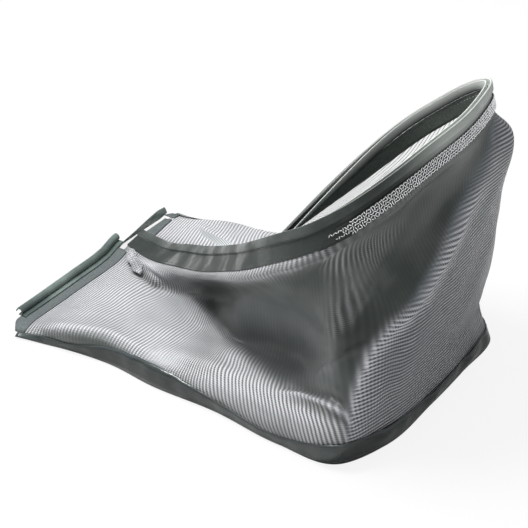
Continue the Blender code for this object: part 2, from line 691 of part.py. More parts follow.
def main():
    clear_scene()
    parts = bpy.data.collections.new("grass_catcher")
    bpy.context.scene.collection.children.link(parts)
    looks = make_materials()
    make_bottom_panel(looks, parts)
    make_panels(looks, parts)
    make_rim(looks, parts)
    make_rim_tapes(looks, parts)
    make_bindings(looks, parts)
    make_front_edges(looks, parts)
    make_floor_hem(looks, parts)
    make_tuck(looks, parts)
    return stand_on_origin(parts)


SHIFT = main()
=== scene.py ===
"""Looks of the mower grass catcher: cloth, tapes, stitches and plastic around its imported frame.

The bag stands on its coated floor. Each soft solid of the frame is replaced by a finer
sheet that follows the same wall, with its ribs, creases and seams.
"""

import logging
import math
from dataclasses import dataclass
from enum import Enum

import bmesh
import bpy
import numpy as np
from bpy.types import ID, Material, Mesh, Node, NodeSocket, NodeTree, Object
from mathutils import Matrix, Vector


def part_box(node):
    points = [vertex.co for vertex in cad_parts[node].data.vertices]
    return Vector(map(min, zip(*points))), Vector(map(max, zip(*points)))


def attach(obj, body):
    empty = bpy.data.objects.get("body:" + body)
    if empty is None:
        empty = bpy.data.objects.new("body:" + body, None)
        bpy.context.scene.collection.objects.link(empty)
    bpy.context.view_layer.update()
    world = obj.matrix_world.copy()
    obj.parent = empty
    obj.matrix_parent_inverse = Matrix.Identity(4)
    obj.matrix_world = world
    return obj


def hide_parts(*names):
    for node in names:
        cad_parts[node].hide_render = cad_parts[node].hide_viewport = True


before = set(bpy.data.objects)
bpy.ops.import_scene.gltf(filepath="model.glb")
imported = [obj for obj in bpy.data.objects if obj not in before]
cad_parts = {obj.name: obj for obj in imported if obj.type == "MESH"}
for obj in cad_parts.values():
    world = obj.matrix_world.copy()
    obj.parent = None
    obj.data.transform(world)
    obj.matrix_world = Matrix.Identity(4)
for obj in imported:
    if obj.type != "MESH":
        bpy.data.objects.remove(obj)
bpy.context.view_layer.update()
LOG = logging.getLogger("grass_catcher")

# Main sizes in metres, as in the frame
FLOOR_LENGTH = 0.520
FLOOR_WIDTH = 0.366
RIM_HEIGHT = 0.397
CLOTH = 0.0012
COATED_SHEET = 0.0014
TAPE = 0.0010
GAP = 0.0003
LOOSE_GAP = 0.0006
GROOVE_WIDTH = 0.0052
GROOVE_DEPTH = 0.0080
RIM_WALL = 0.0014
BEAD_WALL = 0.0028
RIM_DEPTH = 0.0120
FLANGE_DEPTH = 0.0350
FLANGE_THICKNESS = 0.0014
FLANGE_INSIDE = CLOTH / 2 + GAP
CLOTH_SEAT = RIM_DEPTH + GAP + LOOSE_GAP
CLOTH_STRAIGHT = 0.010
END_CUT = 0.60
CUT_LENGTH = 0.14
FLOOR_EDGE_ROUND = 0.0040
SEAM_LAP = 0.0080
BINDING_WIDTH = 0.0120
BINDING_OVER_EDGE = 0.0040
FRONT_TAPE_LAP = 0.0090

# Where the near front corner of the floor's box lies in the frame
CORNER = np.array([-0.269739, 0.008672, 0.0])

# Path of the rim's upper edge in percent, with its lean in degrees
RIM_PATH = (
    (1, 56.8, 3, 88),
    (15, 35.5, 9.6, 68),
    (27.5, 10.9, 20.6, 52),
    (40, -18, 32.7, 40),
    (52.5, -46.4, 45.6, 34),
    (65, -74.9, 59.2, 28),
    (77.5, -92.3, 72.5, 22),
    (87.5, -97.8, 81.9, 18),
    (96.2, -89.1, 91.2, 16),
    (101.3, -56.8, 97.2, 16),
    (103.1, -14.2, 100, 16),
    (102.5, 28.4, 99.2, 14),
    (100, 63.9, 98, 12),
    (96.3, 92.3, 96.2, 8),
    (90, 98.9, 90.9, 4),
    (81.5, 100, 82.1, 2),
    (68.1, 97.8, 66.8, 6),
    (58.8, 88.5, 49.9, 14),
    (49.6, 63.9, 33, 34),
    (44, 36, 18.5, 62),
    (37, 14, 5.6, 84),
    (28, -4, 2.4, 90),
    (17, -22, 1.8, 90),
    (8, -40, 1.7, 90),
)

# Standing sections of the wall: share of the rim, foot, and four points up the cloth
WALL_SECTIONS = (
    (0.000, (0.8, -101), ((0.9, -93, 0.3), (1.2, -60, 0.4), (1.8, -20, 0.6), (2.2, 14, 0.8))),
    (0.050, (14, -93.5), ((13.6, -95, 5.6), (13.4, -58, 5.4), (13.6, -20, 4.8), (13.6, 6, 4.2))),
    (0.105, (27, -91.5), ((26, -88, 5.4), (26.6, -62, 6.6), (27.2, -32, 5.6), (28.2, -9, 6))),
    (0.165, (42, -98), ((42, -96, 5.6), (44, -68, 9), (42.5, -36, 7), (41, -18, 12))),
    (0.250, (61, -100), ((61, -101, 5.2), (60, -76, 11.6), (57.8, -46, 9.6), (58, -50, 26))),
    (0.325, (82, -109.5), ((83, -111, 6), (80, -90, 14), (76.5, -60, 16), (77.5, -70, 40))),
    (0.395, (99.5, -105), ((101.5, -106.5, 9), (98, -92, 26), (91.5, -71, 44), (92, -76, 68))),
    (0.440, (103.8, -68), ((104.6, -66, 12), (105.6, -61, 30), (103.4, -57, 46), (95.5, -56, 68))),
    (0.495, (103, -10), ((104.8, -10, 14), (106.6, -10, 36), (106.8, -9, 57), (101, -8, 79))),
    (0.545, (101.4, 38), ((102.8, 38, 14), (104.8, 38, 38), (105.6, 38, 58), (104.6, 40, 78))),
    (0.603, (98.8, 86), ((96.1, 84, 12.9), (98.4, 86, 29), (101.2, 87, 56), (104, 88, 80))),
    (0.655, (84, 100), ((84, 103, 14), (84, 105, 32), (83.6, 105, 50), (83, 104, 66))),
    (0.710, (67, 101), ((67.4, 103.5, 12), (67.8, 105, 24), (68, 104, 36), (68.2, 103, 48))),
    (0.765, (52, 101), ((52.6, 103, 8), (53.4, 104, 15), (54.4, 103, 22), (55.2, 100, 29))),
    (0.840, (36, 101), ((36.2, 101.5, 6.4), (37, 92, 9.6), (39, 80, 11), (40.6, 70, 12.2))),
    (0.910, (19, 101), ((19.2, 99.5, 4), (21, 82, 5.4), (24, 58, 5), (27, 36, 4.2))),
    (1.000, (1.2, 99.5), ((1.2, 92, 0.2), (1.8, 62, 0.2), (2.6, 34, 0.2), (3.6, 10, 0.4))),
)
NEAR_REAR_SEAM = 6
FAR_REAR_SEAM = 10

# Height in metres of the coated sheet's turned-up edge at each wall section
EDGE_HEIGHTS = (
    0.007, 0.012, 0.022, 0.030, 0.020, 0.016, 0.038, 0.030, 0.024,
    0.024, 0.020, 0.020, 0.020, 0.020, 0.018, 0.012, 0.007,
)


def metres(x: float, y: float, z: float) -> np.ndarray:
    """Place of a point given in percent of the bag's length, half width and height."""
    return np.array([x * FLOOR_LENGTH, y * FLOOR_WIDTH / 2, z * RIM_HEIGHT]) / 100


def unit(vectors: np.ndarray) -> np.ndarray:
    """The vectors at length 1."""
    return vectors / np.maximum(np.linalg.norm(vectors, axis=-1, keepdims=True), 1e-12)


def lengths_of(points: np.ndarray) -> np.ndarray:
    """Length along a run of points to each of them."""
    return np.concatenate([[0], np.cumsum(np.linalg.norm(np.diff(points, axis=0), axis=1))])


def smooth(value: np.ndarray) -> np.ndarray:
    """Soft step from 0 to 1."""
    value = np.clip(value, 0, 1)
    return value * value * (3 - 2 * value)


def along(rows: np.ndarray, knots: np.ndarray, places: np.ndarray) -> np.ndarray:
    """Smooth curve through rows at knots.

    Args:
        rows: what the curve passes through, one entry a knot.
        knots: rising places of the rows.
        places: where the curve is read.

    Returns:
        One entry a place.
    """
    rows = np.asarray(rows, float)
    knots = np.asarray(knots, float)
    places = np.clip(np.asarray(places, float), knots[0], knots[-1])
    spans = np.diff(knots)
    tail = [1] * (rows.ndim - 1)
    steps = np.diff(rows, axis=0) / spans.reshape(-1, *tail)
    slopes = np.empty_like(rows)
    slopes[0], slopes[-1] = steps[0], steps[-1]
    weight = (spans[1:] / (spans[1:] + spans[:-1])).reshape(-1, *tail)
    slopes[1:-1] = steps[:-1] * weight + steps[1:] * (1 - weight)
    index = np.clip(np.searchsorted(knots, places, side="right") - 1, 0, len(spans) - 1)
    span = spans[index].reshape(-1, *tail)
    t = (places - knots[index]).reshape(-1, *tail) / span
    return (
        (2 * t**3 - 3 * t**2 + 1) * rows[index]
        + (t**3 - 2 * t**2 + t) * span * slopes[index]
        + (3 * t**2 - 2 * t**3) * rows[index + 1]
        + (t**3 - t**2) * span * slopes[index + 1]
    )


def read(table: np.ndarray, steps: np.ndarray, wanted: np.ndarray) -> np.ndarray:
    """Rows of a table at wanted places, straight between the steps of its own rows."""
    return np.stack([np.interp(wanted, steps, column) for column in table.T], axis=-1)


def even(points: list, count: int) -> np.ndarray:
    """The smooth curve through the points, cut into equal steps."""
    points = np.asarray(points, float)
    chords = np.linalg.norm(np.diff(points[:, :3], axis=0), axis=1)
    knots = np.concatenate([[0], np.cumsum(np.sqrt(chords))])
    fine = along(points, knots, np.linspace(0, knots[-1], 24 * len(points)))
    lengths = lengths_of(fine[:, :3])
    return read(fine, lengths, np.linspace(0, lengths[-1], count))


class RimPath:
    """The path of the rim and the directions across it."""

    def __init__(self) -> None:
        """Lays the fine path through the rim's points."""
        points = [(*metres(x, y, z), math.radians(lean)) for x, y, z, lean in RIM_PATH]
        self.points = self.eased(even(points, 400))
        self.length = lengths_of(self.points[:, :3])[-1]
        self.tangents = unit(np.gradient(self.points[:, :3], axis=0))

    def eased(self, points: np.ndarray) -> np.ndarray:
        """The path with its small wobbles taken out, and most of all along the far arm."""
        shares = np.linspace(0, 1, len(points))
        for first, last, reach in ((0.03, 0.97, 0.010), (0.63, 0.87, 0.035)):
            weights = np.exp(-(((shares[:, None] - shares[None]) / reach) ** 2) / 2)
            blurred = weights @ points / weights.sum(axis=1, keepdims=True)
            share = smooth((shares - first) / 0.04) * smooth((last - shares) / 0.04)
            points = points + (blurred - points) * share[:, None]
        return points

    def frames(self, shares: np.ndarray) -> tuple:
        """Upper edge, down and outward directions at shares of the rim's length."""
        steps = np.linspace(0, 1, len(self.points))
        here = read(self.points, steps, shares)
        tangent = unit(read(self.tangents, steps, shares))
        flat_out = unit(np.stack([tangent[:, 1], -tangent[:, 0], np.zeros(len(tangent))], axis=1))
        up = np.cross(flat_out, tangent)
        lean = here[:, 3:]
        down = np.sin(lean) * flat_out - np.cos(lean) * up
        out = np.cos(lean) * flat_out + np.sin(lean) * up
        return here[:, :3], down, out

    def at(self, shares: np.ndarray, depth: float, outward: float) -> np.ndarray:
        """Points at a depth below the upper edge and a distance outward of the strip's middle."""
        shares = np.atleast_1d(np.asarray(shares, float))
        slant = END_CUT * depth / self.length
        near = np.clip(1 - shares * self.length / CUT_LENGTH, 0, 1)
        far = np.clip(1 - (1 - shares) * self.length / CUT_LENGTH, 0, 1)
        edge, down, out = self.frames(shares + slant * (near - far))
        return edge + depth * down + outward * out


@dataclass
class Sheet:
    """A run of the wall as a grid of points.

    Attributes:
        points: middle of the cloth, columns by rows.
        normals: outward directions of the points.
        rows: place of each named row: the floor's lap, the floor's edge, the binding and the flange.
        places: distance of each column round the wall.
        heights: length up the cloth to each point.
    """

    points: np.ndarray
    normals: np.ndarray
    rows: dict
    places: np.ndarray
    heights: np.ndarray


class Wall:
    """The middle surface of the cloth wall all round, from the floor's edge to the rim."""

    BODY_STEPS = 60
    COLLAR_ROWS = 6

    def __init__(self, rim: RimPath) -> None:
        """Lays the sections of the wall against the rim."""
        self.rim = rim
        self.shares = np.array([section[0] for section in WALL_SECTIONS])
        self.bodies = np.array([self.body(*section) for section in WALL_SECTIONS])
        moves = np.linalg.norm(np.diff(self.bodies, axis=0), axis=2).mean(axis=1)
        self.knots = np.concatenate([[0], np.cumsum(moves)])
        self.near_seam = self.knots[NEAR_REAR_SEAM]
        self.far_seam = self.knots[FAR_REAR_SEAM]

    def body(self, share: float, foot: tuple, points: tuple) -> np.ndarray:
        """Smooth section of the wall, from its foot to the flange's lower edge."""
        layers = COATED_SHEET + TAPE + 2 * GAP + CLOTH / 2
        layers += CLOTH + TAPE + 2 * GAP if share < 0.5 else 0
        base = metres(*foot, 0) + np.array([0, 0, COATED_SHEET])
        middle = [metres(*point) + np.array([0, 0, layers]) for point in points]
        leaving = self.rim.at(share, FLANGE_DEPTH + CLOTH_STRAIGHT, 0)[0]
        return even([base, *middle, leaving], self.BODY_STEPS)

    def share_at(self, places: np.ndarray) -> np.ndarray:
        """Shares of the rim above places of the wall."""
        return along(self.shares, self.knots, places)

    def sheet(self, start: float, end: float, columns: int, body_rows: int) -> Sheet:
        """Grid of the wall between two places.

        Args:
            start: place of the first column.
            end: place of the last column.
            columns: number of columns.
            body_rows: number of rows between the binding and the flange.

        Returns:
            The run of the wall.
        """
        places = np.linspace(start, end, columns)
        shares = self.share_at(places)
        bodies = along(self.bodies, self.knots, places)
        leaving = self.rim.at(shares, FLANGE_DEPTH + CLOTH_STRAIGHT, 0)
        rise = np.linspace(0, 1, self.BODY_STEPS) ** 3
        bodies += rise[None, :, None] * (leaving - bodies[:, -1])[:, None]
        edges = along(np.array(EDGE_HEIGHTS), self.knots, places)
        below, lengths = [], []
        for body, edge in zip(bodies, edges):
            run = lengths_of(body)
            low = max(edge - SEAM_LAP, edge / 2)
            binding = max(low + BINDING_WIDTH, edge + BINDING_OVER_EDGE)
            foot = [0, low / 3, 2 * low / 3, low, (low + edge) / 2, edge, binding]
            heights = np.concatenate([foot, np.linspace(binding, run[-1], body_rows)[1:]])
            below.append(read(body, run, heights))
            lengths.append(heights)
        depths = np.linspace(FLANGE_DEPTH, CLOTH_SEAT, self.COLLAR_ROWS)
        collar = np.stack([self.rim.at(shares, depth, 0) for depth in depths], axis=1)
        grid = np.concatenate([np.array(below), collar], axis=1)
        normals = unit(np.cross(np.gradient(grid, axis=0), np.gradient(grid, axis=1)))
        normals[:, -self.COLLAR_ROWS :] = self.rim.frames(shares)[2][:, None]
        above = FLANGE_DEPTH + CLOTH_STRAIGHT - depths
        lengths = np.array(lengths)
        heights = np.concatenate([lengths, lengths[:, -1:] + above], axis=1)
        rows = {"lap": 3, "edge": 5, "binding": 6, "flange": grid.shape[1] - self.COLLAR_ROWS}
        return Sheet(grid, normals, rows, places, heights)


RIM = RimPath()
WALL = Wall(RIM)


class MeshLight(Enum):
    """From which side a panel's inner face gets its light, which is painted as a pale face and a glow when it
    comes from behind.
    """

    FRONT = "front"
    BEHIND = "behind"


class Hold(Enum):
    """How a sheet is held, in the frame's words."""

    FOLDED = "folded"
    HUNG = "hung"
    LAID = "laid"


# Node types that the materials use over and over, and two of their settings
MATH = "ShaderNodeMath"
MIX = "ShaderNodeMix"
RANGE = "ShaderNodeMapRange"
SPLIT = "ShaderNodeSeparateXYZ"
NOISE = "ShaderNodeTexNoise"
MARK = "ShaderNodeAttribute"
BUMP = "ShaderNodeBump"
SOFT = {"interpolation_type": "SMOOTHSTEP"}
COLOUR = {"data_type": "RGBA"}
BLACK = "#000000"


def linear(colour: str) -> tuple:
    """Linear colour with alpha of an sRGB hex value."""
    parts = [int(colour[k : k + 2], 16) / 255 for k in (1, 3, 5)]
    return (*[c / 12.92 if c <= 0.04045 else ((c + 0.055) / 1.055) ** 2.4 for c in parts], 1.0)


def feed(tree: NodeTree, node: Node, feeds: dict) -> None:
    """Gives a node's inputs what feeds them.

    Args:
        tree: the node tree.
        node: the node.
        feeds: a socket, a node for its first output, a value or an sRGB hex value, by the
            name or index of the input.
    """
    for key, value in feeds.items():
        if isinstance(value, Node):
            value = value.outputs[0]
        if isinstance(value, NodeSocket):
            tree.links.new(value, node.inputs[key])
        else:
            is_colour = isinstance(value, str) and value.startswith("#")
            node.inputs[key].default_value = linear(value) if is_colour else value


def add(tree: NodeTree, kind: str, feeds: dict = None, **settings: object) -> Node:
    """Adds a node with its settings and links.

    Args:
        tree: the node tree.
        kind: the node's type name.
        feeds: what feeds its inputs.
        settings: values by attribute name.

    Returns:
        The new node.
    """
    node = tree.nodes.new(kind)
    for key, value in settings.items():
        setattr(node, key, value)
    feed(tree, node, feeds or {})
    return node


def new_material(name: str) -> tuple:
    """Material with its tree and Principled shader."""
    made = bpy.data.materials.new(name)
    made.use_nodes = True
    return made, made.node_tree, made.node_tree.nodes["Principled BSDF"]


def woven(tree: NodeTree, uv: Node, pitch: float) -> Node:
    """Height of threads that cross in both directions of a cloth, a pitch apart."""
    waves = []
    for way in list(add(tree, SPLIT, {0: uv}).outputs)[:2]:
        turn = add(tree, MATH, {0: way, 1: 2 * math.pi / pitch}, operation="MULTIPLY")
        waves.append(add(tree, MATH, {0: turn}, operation="SINE"))
    return add(tree, MATH, dict(enumerate(waves)), operation="MULTIPLY")


@dataclass(frozen=True)
class Finish:
    """What the finishes share: each feeds the inputs of one Principled shader."""

    def feeds(self, tree: NodeTree, place: NodeSocket) -> dict:
        """What feeds the shader.

        Args:
            tree: the material's node tree.
            place: position on the object.

        Returns:
            Sockets, nodes, values or sRGB hex values by the shader's inputs.
        """
        raise NotImplementedError

    def material(self, name: str) -> Material:
        """A material with this finish."""
        made, tree, shader = new_material(name)
        place = add(tree, "ShaderNodeTexCoord").outputs["Object"]
        feed(tree, shader, self.feeds(tree, place))
        return made


@dataclass(frozen=True)
class RibbedMesh(Finish):
    """Warp-knitted polyester mesh: raised shiny ribs over finer cross threads.

    The ribs carry painted highlights and their hollows painted shade, and what lies flat is painted
    paler, as if lit from above. The ribs are drawn as coarse as they need to show in the render.
    """

    shade: str = "#3E4541"
    light: str = "#B9BBC1"
    painted_rib_highlight: str = "#F7F7FA"
    rib_gap_shade: str = "#1C2020"
    sky_reflection: str = "#7C8798"
    lit: MeshLight = MeshLight.FRONT
    rib_pitch: float = 0.0050
    thread_pitch: float = 0.0026
    knot_pitch: float = 0.0036
    wander: float = 0.0022
    relief: float = 0.0014

    def ribs(self, tree: NodeTree, across: object, length: object, wander: object) -> Node:
        """Height of ribs across one direction, with their cross threads."""
        place = add(tree, MATH, {0: across, 1: wander}, operation="ADD")
        turn = add(tree, MATH, {0: place, 1: 2 * math.pi / self.rib_pitch}, operation="MULTIPLY")
        wave = add(tree, MATH, {0: turn}, operation="SINE")
        rib = add(tree, MATH, {0: wave, 1: 0.5, 2: 0.5}, operation="MULTIPLY_ADD")
        rib = add(tree, MATH, {0: rib, 1: 1.2}, operation="POWER")
        turn = add(tree, MATH, {0: length, 1: 2 * math.pi / self.thread_pitch}, operation="MULTIPLY")
        cross = add(tree, MATH, {0: turn}, operation="SINE")
        return add(tree, MATH, {0: cross, 1: 0.16, 2: rib}, operation="MULTIPLY_ADD")

    def feeds(self, tree: NodeTree, place: NodeSocket) -> dict:
        """Ribs of the mesh with painted highlights, shade and top light, and a painted glow where it is lit
        from behind.
        """
        uv = add(tree, "ShaderNodeUVMap", uv_map="UVMap")
        across, up, _ = add(tree, SPLIT, {0: uv}).outputs
        cloud = add(tree, NOISE, {"Vector": place, "Scale": 22.0, "Detail": 3.0})
        patch = add(tree, NOISE, {"Vector": place, "Scale": 11.0, "Detail": 3.0})
        ribs, tone, turned, painted_backlight = (
            add(tree, MARK, attribute_name=mark).outputs["Fac"]
            for mark in ("ribs", "tone", "turned", "painted_backlight")
        )
        wander = add(tree, MATH, {0: cloud, 1: self.wander}, operation="MULTIPLY")
        upright = self.ribs(tree, across, up, wander)
        level = self.ribs(tree, up, across, wander)
        relief = add(tree, MIX, {0: turned, 2: upright, 3: level}, data_type="FLOAT")
        clear = add(tree, RANGE, {"Value": patch, "From Min": 0.22, "From Max": 0.55}, **SOFT)
        strength = add(tree, MATH, {0: ribs, 1: clear}, operation="MULTIPLY")
        relief = add(tree, MATH, {0: relief, 1: strength}, operation="MULTIPLY")

        # Painted light: what lies flat is paler than what stands, as if lit from above
        normal = add(tree, "ShaderNodeNewGeometry").outputs["Normal"]
        _, outward, upward = add(tree, SPLIT, {0: normal}).outputs
        drift = add(tree, MATH, {0: patch, 1: 0.5}, operation="SUBTRACT")
        tone = add(tree, MATH, {0: drift, 1: 0.35, 2: tone}, operation="MULTIPLY_ADD")
        painted_top_light = add(tree, MATH, {0: upward}, operation="ABSOLUTE")
        painted_top_light = add(tree, RANGE, {"Value": painted_top_light, "From Max": 0.9, "To Min": 0.55})
        tone = add(tree, MATH, {0: tone, 1: painted_top_light}, operation="MULTIPLY")

        # Painted light and shade: the hollows between the ribs darken and the ribs carry highlights, brighter
        # where the painted tone is pale
        hollow_shade = add(tree, MATH, {0: strength, 1: relief}, operation="SUBTRACT")
        hollow_shade = add(tree, MATH, {0: hollow_shade, 1: 0.5}, operation="MULTIPLY")
        rib_highlight = add(tree, RANGE, {"Value": tone, "From Min": 0.1, "From Max": 0.95, "To Min": 0.14})
        rib_highlight = add(tree, MATH, {0: relief, 1: rib_highlight}, operation="MULTIPLY")
        # Painted reflection: a bluish sky tint over the rear, where the ribs run round
        sky_reflection = add(tree, MATH, {0: turned, 1: 0.22}, operation="MULTIPLY")
        base = add(tree, MIX, {0: tone, 6: self.shade, 7: self.light}, **COLOUR).outputs[2]
        for share, colour in ((hollow_shade, self.rib_gap_shade), (rib_highlight, self.painted_rib_highlight), (sky_reflection, self.sky_reflection)):
            base = add(tree, MIX, {0: share, 6: base, 7: colour}, **COLOUR).outputs[2]
        feeds = {"Roughness": 0.36, "Specular IOR Level": 0.5, "Sheen Weight": 0.12}
        # Painted light: lit from behind, the inner face is painted pale between dark knots and glows like
        # daylight through the mesh, most of all towards the rim
        if self.lit is MeshLight.BEHIND:
            inward = add(tree, MATH, {0: outward, 1: -1.0}, operation="MULTIPLY")
            inner = add(tree, RANGE, {"Value": inward, "From Min": 0.05, "From Max": 0.3}, **SOFT)
            knots = {"Value": woven(tree, uv, self.knot_pitch), "From Min": -0.1, "From Max": 0.5}
            knots = add(tree, RANGE, knots, **SOFT)
            outer = add(tree, MATH, {0: 1.0, 1: inner}, operation="SUBTRACT")
            relief = add(tree, MATH, {0: relief, 1: outer}, operation="MULTIPLY")
            cloth = add(tree, MIX, {0: knots, 6: "#BFC2C4", 7: "#5E6462"}, **COLOUR).outputs[2]
            base = add(tree, MIX, {0: inner, 6: base, 7: cloth}, **COLOUR).outputs[2]
            lit = add(tree, MATH, {0: inner, 1: painted_backlight}, operation="MULTIPLY")
            day = add(tree, MIX, {0: knots, 6: "#FFFFFF", 7: "#4A4F4D"}, **COLOUR).outputs[2]
            glow = add(tree, MIX, {0: lit, 6: BLACK, 7: day}, **COLOUR).outputs[2]
            feeds |= {"Emission Color": glow, "Emission Strength": 1.0}
        bump = add(tree, BUMP, {"Height": relief, "Strength": 0.9, "Distance": self.relief})
        return {"Base Color": base, "Normal": bump, **feeds}


@dataclass(frozen=True)
class CoatedPolyester(Finish):
    """Vinyl coated polyester: smooth, half glossy, with a faint fabric grain and pale scuffs."""

    shade: str = "#202525"
    light: str = "#4C5353"

    def feeds(self, tree: NodeTree, place: NodeSocket) -> dict:
        """Scuffs, painted top light on what faces up, and the grain of the fabric."""
        grain = add(tree, NOISE, {"Vector": place, "Scale": 900.0, "Detail": 2.0})
        cloud = add(tree, NOISE, {"Vector": place, "Scale": 14.0, "Detail": 4.0})
        # Painted top light: paler where it faces up
        normal = add(tree, "ShaderNodeNewGeometry").outputs["Normal"]
        upward = add(tree, SPLIT, {0: normal}).outputs[2]
        dust_and_top_light = add(tree, RANGE, {"Value": upward, "From Max": 0.9}, **SOFT)
        worn = add(tree, RANGE, {"Value": cloud, "From Min": 0.35, "From Max": 0.75}, **SOFT)
        worn = add(tree, MATH, {0: worn, 1: 0.5}, operation="MULTIPLY")
        pale = add(tree, MATH, {0: worn, 1: dust_and_top_light}, operation="MAXIMUM")
        return {
            "Base Color": add(tree, MIX, {0: pale, 6: self.shade, 7: self.light}, **COLOUR).outputs[2],
            "Normal": add(tree, BUMP, {"Height": grain, "Strength": 0.25, "Distance": 0.0004}),
            "Roughness": add(tree, RANGE, {"Value": cloud, "From Max": 2.2}, **SOFT),
        }


@dataclass(frozen=True)
class ExtrudedPlastic(Finish):
    """Extruded vinyl strip: satin, with fine specks, and on its marked places painted shade, sheen and a
    highlight.

    Attributes:
        shade: its dark colour.
        light: its worn colour.
        roughness: roughness of its glossy places.
        specular: how strongly it mirrors.
        dulled: how much rougher its dusty places are.
    """

    shade: str
    light: str
    roughness: float
    specular: float = 0.5
    dulled: float = 0.0

    def feeds(self, tree: NodeTree, place: NodeSocket) -> dict:
        """Wear in clouds, with painted shade on the flange, a painted sheen near the top and a painted lip
        highlight.
        """
        cloud = add(tree, NOISE, {"Vector": place, "Scale": 18.0, "Detail": 5.0})
        speck = add(tree, NOISE, {"Vector": place, "Scale": 420.0, "Detail": 3.0})
        worn = add(tree, RANGE, {"Value": cloud, "From Min": 0.35, "From Max": 0.75}, **SOFT)
        worn = add(tree, MATH, {0: worn, 1: 0.45, 2: 0.16}, operation="MULTIPLY_ADD")
        base = add(tree, MIX, {0: worn, 6: self.shade, 7: self.light}, **COLOUR).outputs[2]
        # The flange's painted shade, the painted sheen near the top and the lip's painted highlight
        coats = (("flange", 0.7, self.shade), ("painted_sheen", 0.85, "#BCC2BE"), ("lip", 1.0, "#E9ECE8"))
        for mark, share, colour in coats:
            share = {0: add(tree, MARK, attribute_name=mark).outputs["Fac"], 1: share}
            share = add(tree, MATH, share, operation="MULTIPLY")
            base = add(tree, MIX, {0: share, 6: base, 7: colour}, **COLOUR).outputs[2]
        dust_and_top_light = add(tree, RANGE, {"Value": cloud, "From Min": 0.62, "From Max": 0.40}, **SOFT)
        uneven = {0: dust_and_top_light, 1: self.dulled, 2: self.roughness}
        return {
            "Base Color": base,
            "Normal": add(tree, BUMP, {"Height": speck, "Strength": 0.2, "Distance": 0.0003}),
            "Roughness": add(tree, MATH, uneven, operation="MULTIPLY_ADD"),
            "Specular IOR Level": self.specular,
        }


@dataclass(frozen=True)
class Webbing(Finish):
    """Woven polyester tape: tight fine weave, matt, with threads lighter where they cross."""

    shade: str
    light: str
    thread: float = 0.0016

    def feeds(self, tree: NodeTree, place: NodeSocket) -> dict:
        """Crossing threads with their fibres."""
        weave = woven(tree, add(tree, "ShaderNodeUVMap", uv_map="UVMap"), self.thread)
        fibre = add(tree, NOISE, {"Vector": place, "Scale": 500.0, "Detail": 4.0})
        relief = add(tree, MATH, {0: weave, 1: 0.25, 2: fibre}, operation="MULTIPLY_ADD")
        pale = add(tree, RANGE, {"Value": relief, "From Min": 0.2, "From Max": 0.9}, **SOFT)
        return {
            "Base Color": add(tree, MIX, {0: pale, 6: self.shade, 7: self.light}, **COLOUR).outputs[2],
            "Normal": add(tree, BUMP, {"Height": relief, "Strength": 0.5, "Distance": 0.0004}),
            "Roughness": 0.7,
        }


@dataclass(frozen=True)
class Thread(Finish):
    """Twisted polyester sewing thread: soft shine, uneven colour, darker low on the bag.

    Attributes:
        shade: its dark colour, low on the bag and in spots.
        light: its pale colour.
        dull_below: height in metres from which it starts to turn pale.
        glint: painted glow of its pale places, which stands for filaments that catch light from all sides.
    """

    shade: str
    light: str
    dull_below: float = 0.0
    glint: str = BLACK

    def feeds(self, tree: NodeTree, place: NodeSocket) -> dict:
        """Twisted filaments, pale or dark, and a painted glow on the pale ones."""
        twist = add(tree, NOISE, {"Vector": place, "Scale": 700.0, "Detail": 2.0})
        height = add(tree, SPLIT, {0: place}).outputs[2]
        pale_share = add(tree, RANGE, {"Value": twist, "From Min": 0.2, "From Max": 0.5}, **SOFT)
        high = {"Value": height, "From Min": self.dull_below, "From Max": self.dull_below + 0.045}
        high = add(tree, RANGE, high, **SOFT)
        pale_share = add(tree, MATH, {0: pale_share, 1: high}, operation="MULTIPLY")
        return {
            "Base Color": add(tree, MIX, {0: pale_share, 6: self.shade, 7: self.light}, **COLOUR).outputs[2],
            "Emission Color": add(tree, MIX, {0: pale_share, 6: BLACK, 7: self.glint}, **COLOUR).outputs[2],
            "Normal": add(tree, BUMP, {"Height": twist, "Strength": 0.4, "Distance": 0.0002}),
            "Emission Strength": 1.0,
            "Roughness": 0.55,
        }


def linked(name: str, data: ID) -> Object:
    """A new object in the scene."""
    made = bpy.data.objects.new(name, data)
    bpy.context.scene.collection.objects.link(made)
    return made


def mark_points(mesh: Mesh, marks: dict) -> None:
    """Writes values at a mesh's points, which its material reads by their names."""
    for name, values in marks.items():
        values = np.asarray(values, np.float32).reshape(-1)
        mesh.attributes.new(name, "FLOAT", "POINT").data.foreach_set("value", values)


def grid_piece(
    name: str, points: np.ndarray, places: np.ndarray, heights: np.ndarray,
    material: Material, thickness: float, marks: dict = None,
) -> Object:
    """Sheet through a grid of points in the wall's own place, with its thickness.

    Args:
        name: the piece's name.
        points: columns by rows of points before the move to the frame.
        places: first UV direction in metres, for each point or each column.
        heights: second UV direction in metres, for each point or each row.
        material: its material.
        thickness: its thickness in metres.
        marks: values at each point by name, which the material reads.

    Returns:
        The piece's object.
    """
    columns, rows = points.shape[:2]
    index = np.arange(columns * rows).reshape(columns, rows)
    faces = [index[:-1, :-1], index[1:, :-1], index[1:, 1:], index[:-1, 1:]]
    faces = np.stack(faces, axis=-1).reshape(-1, 4)
    mesh = bpy.data.meshes.new(name)
    mesh.from_pydata((points + CORNER).reshape(-1, 3).tolist(), [], faces.tolist())
    uv = np.stack(np.broadcast_arrays(places, heights), axis=-1).reshape(-1, 2)
    layer = mesh.uv_layers.new(name="UVMap")
    layer.data.foreach_set("uv", uv[faces.reshape(-1)].astype(np.float32).reshape(-1))
    mark_points(mesh, marks or {})
    mesh.materials.append(material)
    mesh.shade_smooth()
    piece = linked(name, mesh)
    solid = piece.modifiers.new("Thickness", "SOLIDIFY")
    solid.thickness = thickness
    solid.offset = 0
    return piece


